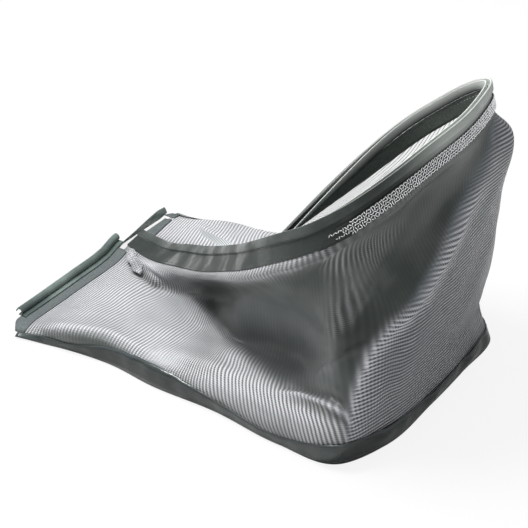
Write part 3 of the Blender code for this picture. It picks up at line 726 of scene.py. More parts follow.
def loft_piece(name: str, rings: np.ndarray, material: Material) -> Object:
    """Closed strip through rings of points, with flat ends."""
    stations, count = rings.shape[:2]
    index = np.arange(stations * count).reshape(stations, count)
    after = np.roll(index, -1, axis=1)
    faces = np.stack([index[:-1], after[:-1], after[1:], index[1:]], axis=-1).reshape(-1, 4).tolist()
    ends = [index[0, ::-1].tolist(), index[-1].tolist()]
    mesh = bpy.data.meshes.new(name)
    mesh.from_pydata((rings + CORNER).reshape(-1, 3).tolist(), [], faces + ends)
    solid = bmesh.new()
    solid.from_mesh(mesh)
    bmesh.ops.recalc_face_normals(solid, faces=solid.faces)
    solid.to_mesh(mesh)
    solid.free()
    mesh.materials.append(material)
    mesh.shade_smooth()
    mesh.set_sharp_from_angle(angle=math.radians(35))
    return linked(name, mesh)


def placed(piece: Object, slot: str, *nodes: str) -> None:
    """Sets a piece to ride on the bag, and hides the nodes that it stands for."""
    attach(piece, "root")
    if nodes:
        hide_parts(*nodes)
    LOG.info("%s: %d points", piece.name, len(piece.data.vertices))


def held_sheet(points: np.ndarray) -> None:
    """Measures a panel of cloth: its area and flat size on its own middle surface."""
    across, upward = np.diff(points, axis=0), np.diff(points, axis=1)
    halves = (np.cross(across[:, :-1], upward[:-1]), np.cross(upward[1:], across[:, 1:]))
    area = sum(np.linalg.norm(half, axis=2).sum() for half in halves) / 2
    length = np.linalg.norm(across, axis=2).sum(axis=0).max()
    flat = (float(length), float(np.linalg.norm(upward, axis=2).sum(axis=1).max()))
    area = min(float(area), flat[0] * flat[1])


@dataclass
class StitchRow:
    """A row of stitches along a line on the bag.

    Attributes:
        spacing: distance between stitches.
        length: length of one stitch.
        thickness: thickness of the thread.
        swing: angle that neighbours turn to either side, in radians.
        jitter: greatest angle that a stitch turns by chance, in radians.
        seed: seed of that chance.
    """

    spacing: float
    length: float
    thickness: float
    swing: float = 0.0
    jitter: float = 0.12
    seed: int = 1

    def tree(self, material: Material) -> NodeTree:
        """Geometry nodes that lay one stitch at each step of the line."""
        tree = bpy.data.node_groups.new("stitches", "GeometryNodeTree")
        face = tree.interface
        face.new_socket("Geometry", in_out="OUTPUT", socket_type="NodeSocketGeometry")
        face.new_socket("Geometry", in_out="INPUT", socket_type="NodeSocketGeometry")
        for label in ("Spacing", "Length", "Thickness", "Swing", "Jitter"):
            face.new_socket(label, in_out="INPUT", socket_type="NodeSocketFloat")
        face.new_socket("Seed", in_out="INPUT", socket_type="NodeSocketInt")
        given = add(tree, "NodeGroupInput").outputs
        curve = add(tree, "GeometryNodeMeshToCurve", {0: given["Geometry"]})
        steps = {"Curve": curve, "Length": given["Spacing"]}
        steps = add(tree, "GeometryNodeResampleCurve", steps, mode="LENGTH")
        ball = add(tree, "GeometryNodeMeshUVSphere", {"Segments": 6, "Rings": 4, "Radius": 0.5})

        # Each stitch lies along the line, its top outward, turned to alternate sides
        out = add(tree, "GeometryNodeInputNamedAttribute", {"Name": "out"}, data_type="FLOAT_VECTOR")
        upright = add(tree, "FunctionNodeAlignRotationToVector", {"Vector": out}, axis="Z")
        laid = {"Rotation": upright, "Vector": add(tree, "GeometryNodeInputTangent")}
        laid = add(tree, "FunctionNodeAlignRotationToVector", laid, axis="X", pivot_axis="Z")
        number = add(tree, "GeometryNodeInputIndex")
        parity = add(tree, MATH, {0: number, 1: 2.0}, operation="MODULO")
        side = add(tree, MATH, {0: parity, 1: 2.0, 2: -1.0}, operation="MULTIPLY_ADD")
        chance = {2: -1.0, 3: 1.0, "Seed": given["Seed"]}
        chance = add(tree, "FunctionNodeRandomValue", chance, data_type="FLOAT").outputs[1]
        uneven = add(tree, MATH, {0: chance, 1: given["Jitter"]}, operation="MULTIPLY")
        angle = add(tree, MATH, {0: side, 1: given["Swing"], 2: uneven}, operation="MULTIPLY_ADD")
        turn = add(tree, "FunctionNodeAxisAngleToRotation", {0: (0, 0, 1), 1: angle})
        facing = add(tree, "FunctionNodeRotateRotation", {0: laid, 1: turn}, rotation_space="LOCAL")
        size = {0: given["Length"], 1: given["Thickness"], 2: given["Thickness"]}
        size = add(tree, "ShaderNodeCombineXYZ", size)
        stitches = {"Points": steps, "Instance": ball, "Rotation": facing, "Scale": size}
        stitches = add(tree, "GeometryNodeInstanceOnPoints", stitches)
        real = add(tree, "GeometryNodeRealizeInstances", {0: stitches})
        dressed = add(tree, "GeometryNodeSetMaterial", {"Material": material, "Geometry": real})
        add(tree, "NodeGroupOutput", {0: dressed})
        return tree

    def piece(self, name: str, lines: list, material: Material) -> Object:
        """Stitches along lines of points with outward directions, as one plain mesh.

        Args:
            name: the piece's name.
            lines: pairs of points and outward directions.
            material: the thread.

        Returns:
            The piece's object.
        """
        points, outward = (np.concatenate(part) for part in zip(*lines))
        edges, start = [], 0
        for line, _ in lines:
            edges += [(start + k, start + k + 1) for k in range(len(line) - 1)]
            start += len(line)
        mesh = bpy.data.meshes.new(name)
        mesh.from_pydata((points + CORNER).tolist(), edges, [])
        directions = mesh.attributes.new("out", "FLOAT_VECTOR", "POINT").data
        directions.foreach_set("vector", outward.astype(np.float32).reshape(-1))
        guide = linked(name, mesh)
        modifier = guide.modifiers.new("Stitches", "NODES")
        modifier.node_group = self.tree(material)
        for item in modifier.node_group.interface.items_tree:
            if item.in_out == "INPUT" and item.name != "Geometry":
                modifier[item.identifier] = getattr(self, item.name.lower())
        bpy.context.view_layer.update()
        graph = bpy.context.evaluated_depsgraph_get()
        plain = bpy.data.meshes.new_from_object(guide.evaluated_get(graph))
        bpy.data.objects.remove(guide)
        plain.materials.clear()
        plain.materials.append(material)
        plain.shade_smooth()
        return linked(name, plain)


def to_step(spots: np.ndarray, start: np.ndarray, step: np.ndarray) -> tuple:
    """Share along a straight step where drawn points are nearest to it, and their distance."""
    share = np.clip(((spots - start) @ step) / (step @ step), 0, 1)
    return share, np.linalg.norm(spots - (start + share[..., None] * step), axis=-1)


@dataclass(frozen=True)
class Crease:
    """A fold of the cloth, drawn in the near rear quarter view in steps of 1.3 mm.

    Attributes:
        path: points of the fold's line.
        width: how far it reaches to each side.
        height: how far it stands out, in metres, or in where negative; as a line of painted light, its change
            of tone.
    """

    path: tuple
    width: float
    height: float

    def lift(self, spots: np.ndarray) -> np.ndarray:
        """Height of the fold at drawn points."""
        line = np.array(self.path, float)
        best = np.full(spots.shape[:-1], 1e9)
        fade = np.ones(spots.shape[:-1])
        total = lengths_of(line)
        for number, (start, end) in enumerate(zip(line, line[1:])):
            share, distance = to_step(spots, start, end - start)
            nearer = distance < best
            best = np.where(nearer, distance, best)
            reach = (total[number] + share * np.linalg.norm(end - start)) / total[-1]
            fade = np.where(nearer, smooth(4 * reach) * smooth(4 * (1 - reach)), fade)
        return self.height * np.exp(-((best / self.width) ** 2)) * fade


# The near rear quarter view: where the bag's corner stands, and steps a millimetre along x, y and z
VIEW_CORNER = (93, 274)
VIEW_ACROSS = (0.6369, 0.4312)
VIEW_DOWN = (0.2290, -0.3382, -0.6515)


def drawn(points: np.ndarray) -> np.ndarray:
    """Where points stand in the near rear quarter view, in steps of 1.3 mm."""
    x, y, z = (points[..., axis] * 1000 for axis in range(3))
    across = VIEW_CORNER[0] + VIEW_ACROSS[0] * x + VIEW_ACROSS[1] * y
    down = VIEW_CORNER[1] + VIEW_DOWN[0] * x + VIEW_DOWN[1] * y + VIEW_DOWN[2] * z
    return np.stack([across, down], axis=-1)


# Lines that are both a fold and a painted highlight along it
CORNER_FOLD = ((272, 389), (300, 391), (322, 398), (342, 409), (357, 430))
PINCHED_FOLD = ((127, 246), (138, 259), (156, 271), (180, 279))

NEAR_CREASES = (
    Crease(((38, 325), (75, 327), (110, 332), (145, 352), (190, 362)), 5, 0.0030),
    Crease(((60, 342), (110, 348), (150, 362)), 8, -0.0022),
    Crease(((150, 345), (200, 362), (245, 378), (283, 395), (325, 412), (350, 424)), 8, 0.0045),
    Crease(((215, 352), (260, 370), (300, 385)), 9, -0.0030),
    Crease(CORNER_FOLD, 2.6, 0.0050),
    Crease(((276, 382), (300, 383), (326, 390), (345, 402)), 5, -0.0045),
    Crease(PINCHED_FOLD, 3.2, 0.0050),
    Crease(((125, 252), (134, 270), (150, 284), (170, 288)), 3.6, -0.0040),
    Crease(((143, 252), (156, 263), (176, 270)), 2.6, -0.0030),
    Crease(((283, 398), (305, 402), (330, 414)), 4, -0.0025),
    Crease(((158, 276), (185, 292), (205, 315), (225, 342), (255, 368), (292, 392)), 9, 0.0050),
    Crease(((155, 262), (190, 268), (240, 272), (290, 262), (330, 246)), 9, 0.0065),
    Crease(((160, 278), (200, 288), (250, 296), (300, 318), (335, 350)), 11, -0.0075),
    Crease(((318, 248), (330, 285), (345, 325)), 6, 0.0030),
    Crease(((338, 262), (350, 300), (352, 335)), 7, -0.0030),
    Crease(((95, 290), (110, 305), (140, 315)), 9, -0.0016),
    Crease(((60, 305), (90, 312), (130, 322)), 9, 0.0014),
)
REAR_CREASES = (
    Crease((
        (348, 415), (353, 385), (366, 352), (388, 325), (409, 306),
        (437, 258), (457, 218), (478, 182), (494, 150),
    ), 9, 0.0070),
    Crease((
        (352, 400), (356, 372), (370, 346), (390, 323), (410, 304),
        (420, 285), (438, 256), (458, 216), (478, 180),
    ), 3, 0.0042),
    Crease(((404, 322), (416, 304), (412, 280), (418, 262)), 4, -0.0030),
    Crease(((378, 232), (358, 262), (346, 292), (338, 318)), 4.5, 0.0040),
    Crease(((392, 236), (378, 262), (364, 296), (352, 322)), 7, -0.0045),
    Crease(((310, 385), (322, 366), (345, 350), (372, 338)), 3.5, 0.0030),
    Crease(((345, 345), (378, 290), (415, 245), (450, 200), (478, 165)), 16, -0.0090),
    Crease(((486, 300), (470, 320), (440, 352)), 9, -0.0030),
    Crease(((505, 215), (486, 250), (470, 290), (440, 330)), 7, 0.0020),
    Crease(((392, 340), (386, 370), (384, 405)), 8, -0.0022),
)
FAR_CREASES = (
    Crease(((196, 218), (206, 231), (222, 240), (240, 248)), 4, 0.0030),
    Crease(((176, 214), (200, 222), (228, 224), (262, 232)), 6, -0.0020),
    Crease(((216, 216), (240, 224), (270, 232)), 5, 0.0020),
)

# Painted light and shade in the cloth: outline, softness of its edge and change of tone
PLAIN_TONE = 0.46
# Tone of the far side and of the bunched cloth, where no fields lie
EVEN_TONE = 0.6
# The dish: a hollow of the cloth, painted dark as shade, where its ribs hardly show
DISH = (
    (158, 270), (195, 280), (240, 283), (285, 272), (322, 252), (356, 226), (400, 197), (448, 152),
    (490, 116), (490, 150), (474, 186), (455, 218), (436, 255), (410, 302), (384, 322), (362, 352),
    (350, 388), (345, 424), (334, 402), (300, 388), (268, 372), (240, 350), (218, 325), (202, 300),
    (180, 284),
)
HEM_SHADE = ((45, 331), (105, 336), (130, 352), (110, 358), (40, 345))
REAR_CLOTH = (
    (500, 120), (440, 250), (412, 306), (390, 340), (372, 372), (356, 425), (500, 350), (530, 200),
)
TONE_FIELDS = (
    (DISH, 9, -0.44),
    (((285, 396), (310, 396), (330, 404), (345, 418), (320, 412), (295, 404)), 4, -0.34),
    (REAR_CLOTH, 8, -0.06),
    (((225, 315), (262, 296), (330, 325), (338, 380), (300, 384), (255, 362)), 16, 0.20),
    (((124, 250), (134, 272), (152, 287), (166, 290), (150, 276), (136, 262)), 3, -0.50),
    (HEM_SHADE, 6, -0.38),
    (((484, 130), (492, 160), (504, 190), (500, 225), (490, 225), (487, 180)), 8, 0.12),
    (((30, 318), (120, 262), (150, 280), (200, 330), (215, 350), (150, 345), (110, 328)), 14, 0.30),
    (((170, 205), (290, 232), (240, 256), (150, 236)), 10, 0.42),
    (((215, 330), (250, 368), (290, 388), (270, 385), (220, 360)), 8, 0.16),
    (((318, 250), (352, 240), (400, 220), (386, 240), (360, 290), (345, 325), (334, 290)), 8, 0.20),
)
# Band of painted light along the floor's edge towards the rear corner, where the ribs also show more
CORNER_BAND = Crease((
    (120, 345), (150, 352), (200, 366), (245, 383), (283, 400), (325, 419), (352, 430),
), 9, 0.62)
# Lines of painted light: highlights along folds, ridges and bands of the cloth
TONE_LINES = (
    Crease(((40, 326), (75, 327), (112, 333), (150, 350)), 2.5, 0.35),
    CORNER_BAND,
    Crease(CORNER_FOLD, 2.0, 0.75),
    Crease(PINCHED_FOLD, 2.4, 0.45),
    Crease((
        (347, 432), (352, 395), (367, 352), (390, 325), (412, 306),
        (439, 258), (459, 218), (480, 182), (494, 150),
    ), 6, 0.85),
    Crease(((196, 216), (206, 229), (222, 239), (242, 248)), 3, 0.35),
    Crease(((152, 256), (190, 265), (240, 269), (290, 260), (330, 244)), 7, 0.36),
    Crease(((262, 285), (300, 305), (330, 318)), 10, 0.10),
    Crease(((340, 330), (330, 350), (322, 372)), 10, 0.10),
)
RIB_FAN = ((318, 254), (352, 246), (396, 226), (384, 244), (360, 290), (345, 325), (330, 330), (334, 290))

# The rear's long ridge, from above downwards
RIDGE = np.array((
    (500, 60), (480, 150), (455, 205), (430, 258), (400, 305),
    (372, 340), (352, 385), (345, 425), (340, 500),
), float)


def inside(spots: np.ndarray, outline: tuple, softness: float) -> np.ndarray:
    """How far drawn points lie inside an outline: 1 within, 0 outside, with a soft edge."""
    corners = np.array(outline, float)
    best = np.full(spots.shape[:-1], 1e9)
    within = np.zeros(spots.shape[:-1], bool)
    for start, end in zip(corners, np.roll(corners, -1, axis=0)):
        step = end - start
        best = np.minimum(best, to_step(spots, start, step)[1])
        crosses = (start[1] > spots[..., 1]) != (end[1] > spots[..., 1])
        rise = step[1] if step[1] else 1e-9
        within ^= crosses & (spots[..., 0] < start[0] + (spots[..., 1] - start[1]) * step[0] / rise)
    return smooth(0.5 + np.where(within, best, -best) / softness / 2)


def tone_of(spots: np.ndarray) -> np.ndarray:
    """Painted light and shade of the cloth at drawn points: how pale it is, from 0 to 1."""
    tone = np.full(spots.shape[:-1], PLAIN_TONE)
    for outline, softness, change in TONE_FIELDS:
        tone += change * inside(spots, outline, softness)
    for line in TONE_LINES:
        tone += line.lift(spots)
    return np.clip(tone, 0.02, 1.0)


def turned_at(spots: np.ndarray) -> np.ndarray:
    """Where the ribs run round the bag: 1 behind the long ridge of the rear, 0 before it."""
    ridge = np.interp(spots[..., 1], RIDGE[:, 1], RIDGE[:, 0])
    return smooth((spots[..., 0] - ridge) / 10 + 0.5)


def rib_strength(spots: np.ndarray) -> np.ndarray:
    """How strongly the ribs show at drawn points: the cloth is pulled smooth in the dish."""
    strength = 1 - 0.9 * inside(spots, DISH, 10)
    strength = np.maximum(strength, 1.5 * inside(spots, RIB_FAN, 12))
    rear = 1.3 * turned_at(spots)
    strength *= 1 + rear + 0.9 * CORNER_BAND.lift(spots) + 0.7 * inside(spots, REAR_CLOTH, 14)
    return strength * (1 - 0.8 * inside(spots, HEM_SHADE, 6))


@dataclass
class ClothWalls:
    """The panels of mesh cloth and the tapes in their standing seams.

    Attributes:
        rows: rows of points between the binding and the flange.
        step: distance between columns of points.
        ripple: height of the cloth's slight waves.
        spread: how far the ribs are pulled apart by the rear corner, as a share.
        slant: how much they slant there.
        gap: half the gap between two panels.
        overlap: columns laid past each cut, so that normals pass smoothly into the neighbour.
    """

    rows: int = 118
    step: float = 0.0030
    ripple: float = 0.0006
    spread: float = 0.28
    slant: float = 0.80
    gap: float = 0.00005
    overlap: int = 6

    def panel(
        self, nodes: tuple, start: float, end: float, creases: tuple, cloth: Material,
    ) -> None:
        """Makes one panel from inside the floor's edge to the rim.

        Args:
            nodes: the frame's nodes that the cloth stands for.
            start: place of its first edge round the wall.
            end: place of its last edge.
            creases: the folds in it.
            cloth: its material.
        """
        sheet = self.cut(start, end)
        spots = drawn(sheet.points)
        points = self.folded(sheet, creases)
        flange = sheet.heights[:, sheet.rows["flange"]][:, None]
        low = sheet.rows["lap"]
        across = self.rib_places(sheet.places[:, None], sheet.heights)
        marks = {"ribs": rib_strength(spots), "tone": tone_of(spots), "turned": turned_at(spots)}
        # Share of the far mesh's painted glow, rising towards the rim
        marks["painted_backlight"] = smooth(1.1 - (flange - sheet.heights) / 0.11)
        if "far_side_panel" in nodes:
            front = smooth((300 - spots[..., 0]) / 40)
            marks["tone"] = EVEN_TONE + (marks["tone"] - EVEN_TONE) * front
            marks["ribs"] = np.ones_like(front)
            marks["turned"] *= 0
        piece = grid_piece(
            nodes[0] + "_cloth", points[:, low:], across[:, low:], sheet.heights[:, low:],
            cloth, CLOTH, {mark: values[:, low:] for mark, values in marks.items()},
        )
        placed(piece, "mesh_cloth", *nodes)
        held_sheet(points[:, low:])

    def folded(self, sheet: Sheet, creases: tuple) -> np.ndarray:
        """Points of a run of the wall with its folds, which die out at the tapes round it."""
        places = sheet.places[:, None]
        spots = drawn(sheet.points)
        lift = sum(crease.lift(spots) for crease in creases)
        lift += self.ripple * np.sin(places * 95) * np.sin(sheet.heights * 70 + places * 21)
        flange = sheet.heights[:, sheet.rows["flange"]][:, None]
        binding = sheet.heights[:, sheet.rows["binding"]][:, None]
        fade = smooth((sheet.heights - binding) / 0.020) * smooth((flange - sheet.heights) / 0.014)
        first = smooth((places - WALL.knots[0] - FRONT_TAPE_LAP) / 0.03)
        last = smooth((WALL.knots[-1] - FRONT_TAPE_LAP - places) / 0.03)
        points = sheet.points + sheet.normals * (lift * fade * first * last)[..., None]
        points[..., 2] = np.maximum(points[..., 2], COATED_SHEET + TAPE + 2 * GAP)
        return points

    def rib_places(self, places: np.ndarray, heights: np.ndarray) -> np.ndarray:
        """Places across the ribs, which the stretched cloth by the rear corner pulls apart and slants."""
        first, last = WALL.knots[3], WALL.near_seam
        fine = np.linspace(0, WALL.knots[-1], 600)
        pulled = smooth((fine - first) / 0.10) * smooth((last + 0.07 - fine) / 0.12)
        spread = np.concatenate([[0], np.cumsum(np.diff(fine) * (1 - self.spread * pulled[1:]))])
        slant = self.slant * np.interp(places, fine, pulled)
        return np.interp(places, fine, spread) + slant * 0.05 * (1 - np.exp(-heights / 0.05))

    def cut(self, start: float, end: float) -> Sheet:
        """Run of the wall whose normals pass smoothly into its neighbours."""
        columns = int((end - start) / self.step)
        step = (end - start) / columns
        before = self.overlap if start > 0 else 0
        after = self.overlap if end < WALL.knots[-1] else 0
        wide = WALL.sheet(start - before * step, end + after * step, columns + 1 + before + after, self.rows)
        keep = slice(before, before + columns + 1)
        return Sheet(wide.points[keep], wide.normals[keep], wide.rows, wide.places[keep], wide.heights[keep])

    def corner_tape(self, name: str, seam: float, creases: tuple, tape: Material) -> None:
        """Makes the tape inside a standing rear seam."""
        sheet = WALL.sheet(seam - BINDING_WIDTH / 2, seam + BINDING_WIDTH / 2, 7, self.rows)
        low, top = sheet.rows["binding"] + 1, sheet.rows["flange"]
        inset = CLOTH / 2 + 2 * LOOSE_GAP + TAPE / 2
        points = (self.folded(sheet, creases) - sheet.normals * inset)[:, low:top]
        heights = sheet.heights[:, low:top]
        piece = grid_piece(name + "_tape", points, sheet.places[:, None], heights, tape, TAPE)
        placed(piece, "dark_tape", name)

    def build(self) -> None:
        """Makes the panels and the corner tapes."""
        seam, end = WALL.far_seam, WALL.knots[-1]
        both = NEAR_CREASES + REAR_CREASES
        near = RibbedMesh().material("warp knit polyester mesh, near side and rear")
        far = RibbedMesh(lit=MeshLight.BEHIND).material("warp knit polyester mesh, far side")
        self.panel(("near_side_panel", "rear_panel"), 0.0, seam - self.gap, both, near)
        self.panel(("far_side_panel",), seam + self.gap, end, FAR_CREASES, far)
        tape = Webbing("#2E332F", "#565C57").material("woven polyester binding tape")
        self.corner_tape("near_corner_binding", WALL.near_seam, both, tape)
        # Painted light: the far seam's tape is a paler copy of the same tape, painted bright where it stands
        # against the glowing far mesh
        pale = Webbing("#8E9391", "#C6C9C7").material("woven polyester binding tape, pale")
        self.corner_tape("far_corner_binding", seam, both, pale)


@dataclass
class FloorTray:
    """The coated floor with its turned-up edge, its seam tape and its front hem.

    Attributes:
        flat: width and length of the sheet that it is cut from.
        columns: columns of points round the edge.
        front_columns: columns of points along the open front.
        shares: rings of the floor, as shares of the way from its middle to its edge.
        sag: height of the edge's slight waves.
        crumple: height of its waves round the rear.
    """

    flat: tuple = (0.47, 0.62)
    columns: int = 420
    front_columns: int = 60
    shares: tuple = (1.0, 0.75, 0.5, 0.25)
    sag: float = 0.0010
    crumple: float = 0.0022

    def build(self) -> None:
        """Makes the floor and its tapes."""
        sheet = WALL.sheet(0, WALL.knots[-1], self.columns, 12)
        edge = sheet.rows["edge"]
        outward = CLOTH / 2 + GAP + COATED_SHEET / 2
        shell = sheet.points[:, : edge + 1] + sheet.normals[:, : edge + 1] * outward
        flat_out = unit(sheet.normals[:, :1] * (1, 1, 0))
        places = sheet.places
        wave = self.sag * np.sin(places * 150) * np.sin(places * 41)
        rear = smooth((places - WALL.near_seam + 0.05) / 0.04) * smooth((WALL.far_seam - places) / 0.04)
        wave += self.crumple * rear * (1.2 + np.sin(places * 62 + 1.1) + 0.5 * np.sin(places * 117))
        rise = np.linspace(0, 1, shell.shape[1] - 1)
        shell[:, 1:] += flat_out * (wave[:, None] * (0.4 + 0.6 * np.sin(3.0 * rise)))[..., None]
        foot = shell[:, :1] - flat_out * FLOOR_EDGE_ROUND
        foot[:, :, 2] = COATED_SHEET / 2
        shell[:, :, 2] = np.maximum(shell[:, :, 2], COATED_SHEET / 2 + FLOOR_EDGE_ROUND / 4)
        inner = foot - flat_out * FLOOR_EDGE_ROUND
        middle = np.array([FLOOR_LENGTH / 2, 0, COATED_SHEET / 2])
        rings = [inner + (middle - inner) * share for share in self.shares]
        steps = np.linspace(0, 1, self.front_columns)[:, None, None]
        line = inner[-1:] + (inner[:1] - inner[-1:]) * steps
        front = np.concatenate([line + (middle - line) * share for share in (*self.shares, 0.0)], axis=1)
        points = np.concatenate([*rings, inner, foot, shell], axis=1)
        heights = np.arange(points.shape[1])[None] * 0.01
        coat = CoatedPolyester().material("vinyl coated polyester")
        tray = grid_piece("floor_tray", points, places[:, None], heights, coat, COATED_SHEET)
        self.close(tray, front)
        placed(tray, "coated_sheet", "bottom_panel")
        self.tapes(sheet)
        thread = Thread("#1E2220", "#4A504C").material("dark polyester thread")
        normals = sheet.normals[:, edge - 1]
        line = sheet.points[:, edge - 1] + normals * (outward + COATED_SHEET / 2)
        lines = [(line[10:-10], normals[10:-10])]
        placed(StitchRow(0.0042, 0.0030, 0.0006).piece("floor_seam_stitches", lines, thread), "dark_tape")

    def close(self, tray: Object, front: np.ndarray) -> None:
        """Adds the part of the floor along its open front and joins the doubled points.

        Args:
            tray: the floor's object.
            front: columns by rows of points from the middle of the floor to its front edge.
        """
        solid = bmesh.new()
        solid.from_mesh(tray.data)
        made = [[solid.verts.new(point) for point in column] for column in front + CORNER]
        for left, right in zip(made, made[1:]):
            for row in range(len(left) - 1):
                solid.faces.new((left[row], right[row], right[row + 1], left[row + 1])).smooth = True
        bmesh.ops.remove_doubles(solid, verts=solid.verts, dist=1e-5)
        bmesh.ops.recalc_face_normals(solid, faces=solid.faces)
        solid.to_mesh(tray.data)
        solid.free()

    def tapes(self, sheet: Sheet) -> None:
        """Makes the tape along the floor's seam and the hem on its front edge."""
        tape = Webbing("#2E332F", "#565C57").material("woven polyester seam tape")
        inner = sheet.points - sheet.normals * (CLOTH / 2 + LOOSE_GAP + TAPE / 2)
        first = int(np.searchsorted(sheet.places, WALL.knots[2]))
        last = int(np.searchsorted(sheet.places, WALL.knots[-2]))
        rows = slice(sheet.rows["lap"], sheet.rows["binding"] + 1)
        places = sheet.places[first:last, None]
        heights = sheet.heights[first:last, rows]
        band = grid_piece("seam_tape", inner[first:last, rows], places, heights, tape, TAPE)
        placed(band, "dark_tape", "bottom_seam_binding")
        low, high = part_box("bottom_front_hem")
        xs, ys = np.linspace(low[0], high[0], 4), np.linspace(low[1], high[1], 60)
        height = (low[2] + high[2]) / 2
        grid = np.array([[(x, y, height) for y in ys] for x in xs]) - CORNER
        hem = Webbing("#565C5E", "#7E8486").material("woven polyester hem tape")
        piece = grid_piece("front_hem", grid, xs[:, None], ys[None], hem, TAPE)
        placed(piece, "flange_tape", "bottom_front_hem")


@dataclass
class RimStrip:
    """The groove strip round the top with its tapes and stitches.

    Attributes:
        stations: places along the strip.
        columns: places along a tape.
        seam_depths: depth and late start, as a share, of each row of zigzag on the rear tape.
    """

    stations: int = 420
    columns: int = 260
    seam_depths: tuple = ((0.0210, 0.030), (0.0245, 0.012), (0.0280, 0.022), (0.0315, 0.016), (0.0348, 0.027))

    def profile(self) -> list:
        """Section of the strip: depth below the upper edge and distance outward."""
        inner = -GROOVE_WIDTH / 2 - RIM_WALL
        outer = GROOVE_WIDTH / 2 + BEAD_WALL
        flange = FLANGE_INSIDE + FLANGE_THICKNESS
        lip = [(0.0003, inner), (-0.0001, inner + 0.0004), (0.0, inner + RIM_WALL)]
        groove = [(GROOVE_DEPTH, inner + RIM_WALL), (GROOVE_DEPTH, GROOVE_WIDTH / 2), (0.0, GROOVE_WIDTH / 2)]
        bead = [
            (-0.0008, GROOVE_WIDTH / 2 + BEAD_WALL / 2), (-0.0002, outer - 0.0004), (0.0012, outer),
            (RIM_DEPTH - 0.0020, outer), (RIM_DEPTH - 0.0007, outer - 0.0006),
        ]
        outside = [
            (RIM_DEPTH, flange + 0.0006), (RIM_DEPTH + 0.0008, flange),
            (FLANGE_DEPTH - 0.0004, flange), (FLANGE_DEPTH, flange - 0.0004),
        ]
        back = [
            (FLANGE_DEPTH, FLANGE_INSIDE), (RIM_DEPTH, FLANGE_INSIDE),
            (RIM_DEPTH, inner + 0.0010), (RIM_DEPTH - 0.0012, inner),
        ]
        return lip + groove + bead + outside + back

    def band(
        self, name: str, ends: tuple, depths: tuple, outward: float, look: Material, slant: float = 0.0,
    ) -> Object:
        """Tape along a stretch of the rim, its first end cut on a slant."""
        shares = np.linspace(*ends, self.columns)
        rows = np.linspace(*depths, 6)
        ahead = slant * np.linspace(1, 0, self.columns) ** 4
        late = np.linspace(0, 1, len(rows))
        points = [RIM.at(shares + ahead * k, depth, outward) for k, depth in zip(late, rows)]
        places = (shares * RIM.length)[:, None]
        return grid_piece(name, np.stack(points, axis=1), places, rows[None], look, TAPE)

    def line(self, ends: tuple, depth: float, outward: float) -> tuple:
        """Line along the rim with its outward directions."""
        shares = np.linspace(*ends, 300)
        side = 1.0 if outward > 0 else -1.0
        return RIM.at(shares, depth, outward), RIM.frames(shares)[2] * side

    def build(self) -> None:
        """Makes the strip, its tapes and its rows of stitches."""
        shares = np.linspace(0, 1, self.stations)
        profile = self.profile()
        rings = np.stack([RIM.at(shares, depth, outward) for depth, outward in profile], axis=1)
        plastic = ExtrudedPlastic("#2F3532", "#666D6A", 0.2, 0.25, 0.35).material("extruded vinyl, satin")
        strip = loft_piece("rim_strip", rings, plastic)
        # Painted light on the strip: the flange below the bead is painted darker as shade, the lip carries a
        # painted highlight, and the stretch near the top a painted sheen
        below = [float(depth > RIM_DEPTH) for depth, _ in profile]
        lip = [1.0, 1.0, 0.6, 0.0, 0.0, 0.85, 0.35] + [0.0] * (len(profile) - 7)
        painted_sheen = smooth((shares - 0.43) / 0.07) * smooth((0.62 - shares) / 0.02)
        marks = {"flange": np.tile(below, self.stations), "lip": np.tile(lip, self.stations)}
        mark_points(strip.data, {**marks, "painted_sheen": np.repeat(painted_sheen, len(profile))})
        placed(strip, "rim_plastic", "rim_channel")
        outside = FLANGE_INSIDE + FLANGE_THICKNESS + GAP + LOOSE_GAP + TAPE / 2
        start = WALL.shares[NEAR_REAR_SEAM] - 0.035
        end = WALL.shares[FAR_REAR_SEAM] + 0.009
        wide = Webbing("#111413", "#323836", 0.0022).material("polyester webbing")
        rear = self.band("rear_tape", (start, end), (0.0365, 0.0190), outside, wide, 0.02)
        placed(rear, "hem_tape", "rear_hem_tape")
        dark = Webbing("#4C544E", "#79817A").material("woven polyester tape")
        inside = -(CLOTH / 2 + LOOSE_GAP + TAPE / 2)
        inner = self.band("inner_tape", (0.10, 0.90), (0.0335, CLOTH_SEAT), inside, dark)
        placed(inner, "dark_tape", "rim_inner_tape")
        thread = Thread("#6A7072", "#FFFFFF", 0.300, "#808286").material("pale polyester thread")
        over = outside + TAPE / 2 + 0.0001
        lines = [self.line((start + late, end - 0.001), depth, over) for depth, late in self.seam_depths]
        zigzag = StitchRow(0.0034, 0.0044, 0.0013, math.radians(50), 0.7, 4)
        placed(zigzag.piece("zigzag_stitches", lines, thread), "hem_tape")
        pale = [self.line((0.12, 0.88), depth, inside - TAPE / 2) for depth in (0.0180, 0.0300)]
        placed(StitchRow(0.0062, 0.0026, 0.0006).piece("inner_stitches", pale, thread), "dark_tape")
        dark_thread = Thread("#23282B", "#575D60").material("grey polyester thread")
        flange = FLANGE_INSIDE + FLANGE_THICKNESS
        rows = [self.line(ends, 0.0310, flange) for ends in ((0.02, start - 0.004), (end + 0.004, 0.98))]
        placed(StitchRow(0.0045, 0.0032, 0.0005).piece("flange_stitches", rows, dark_thread), "rim_plastic")


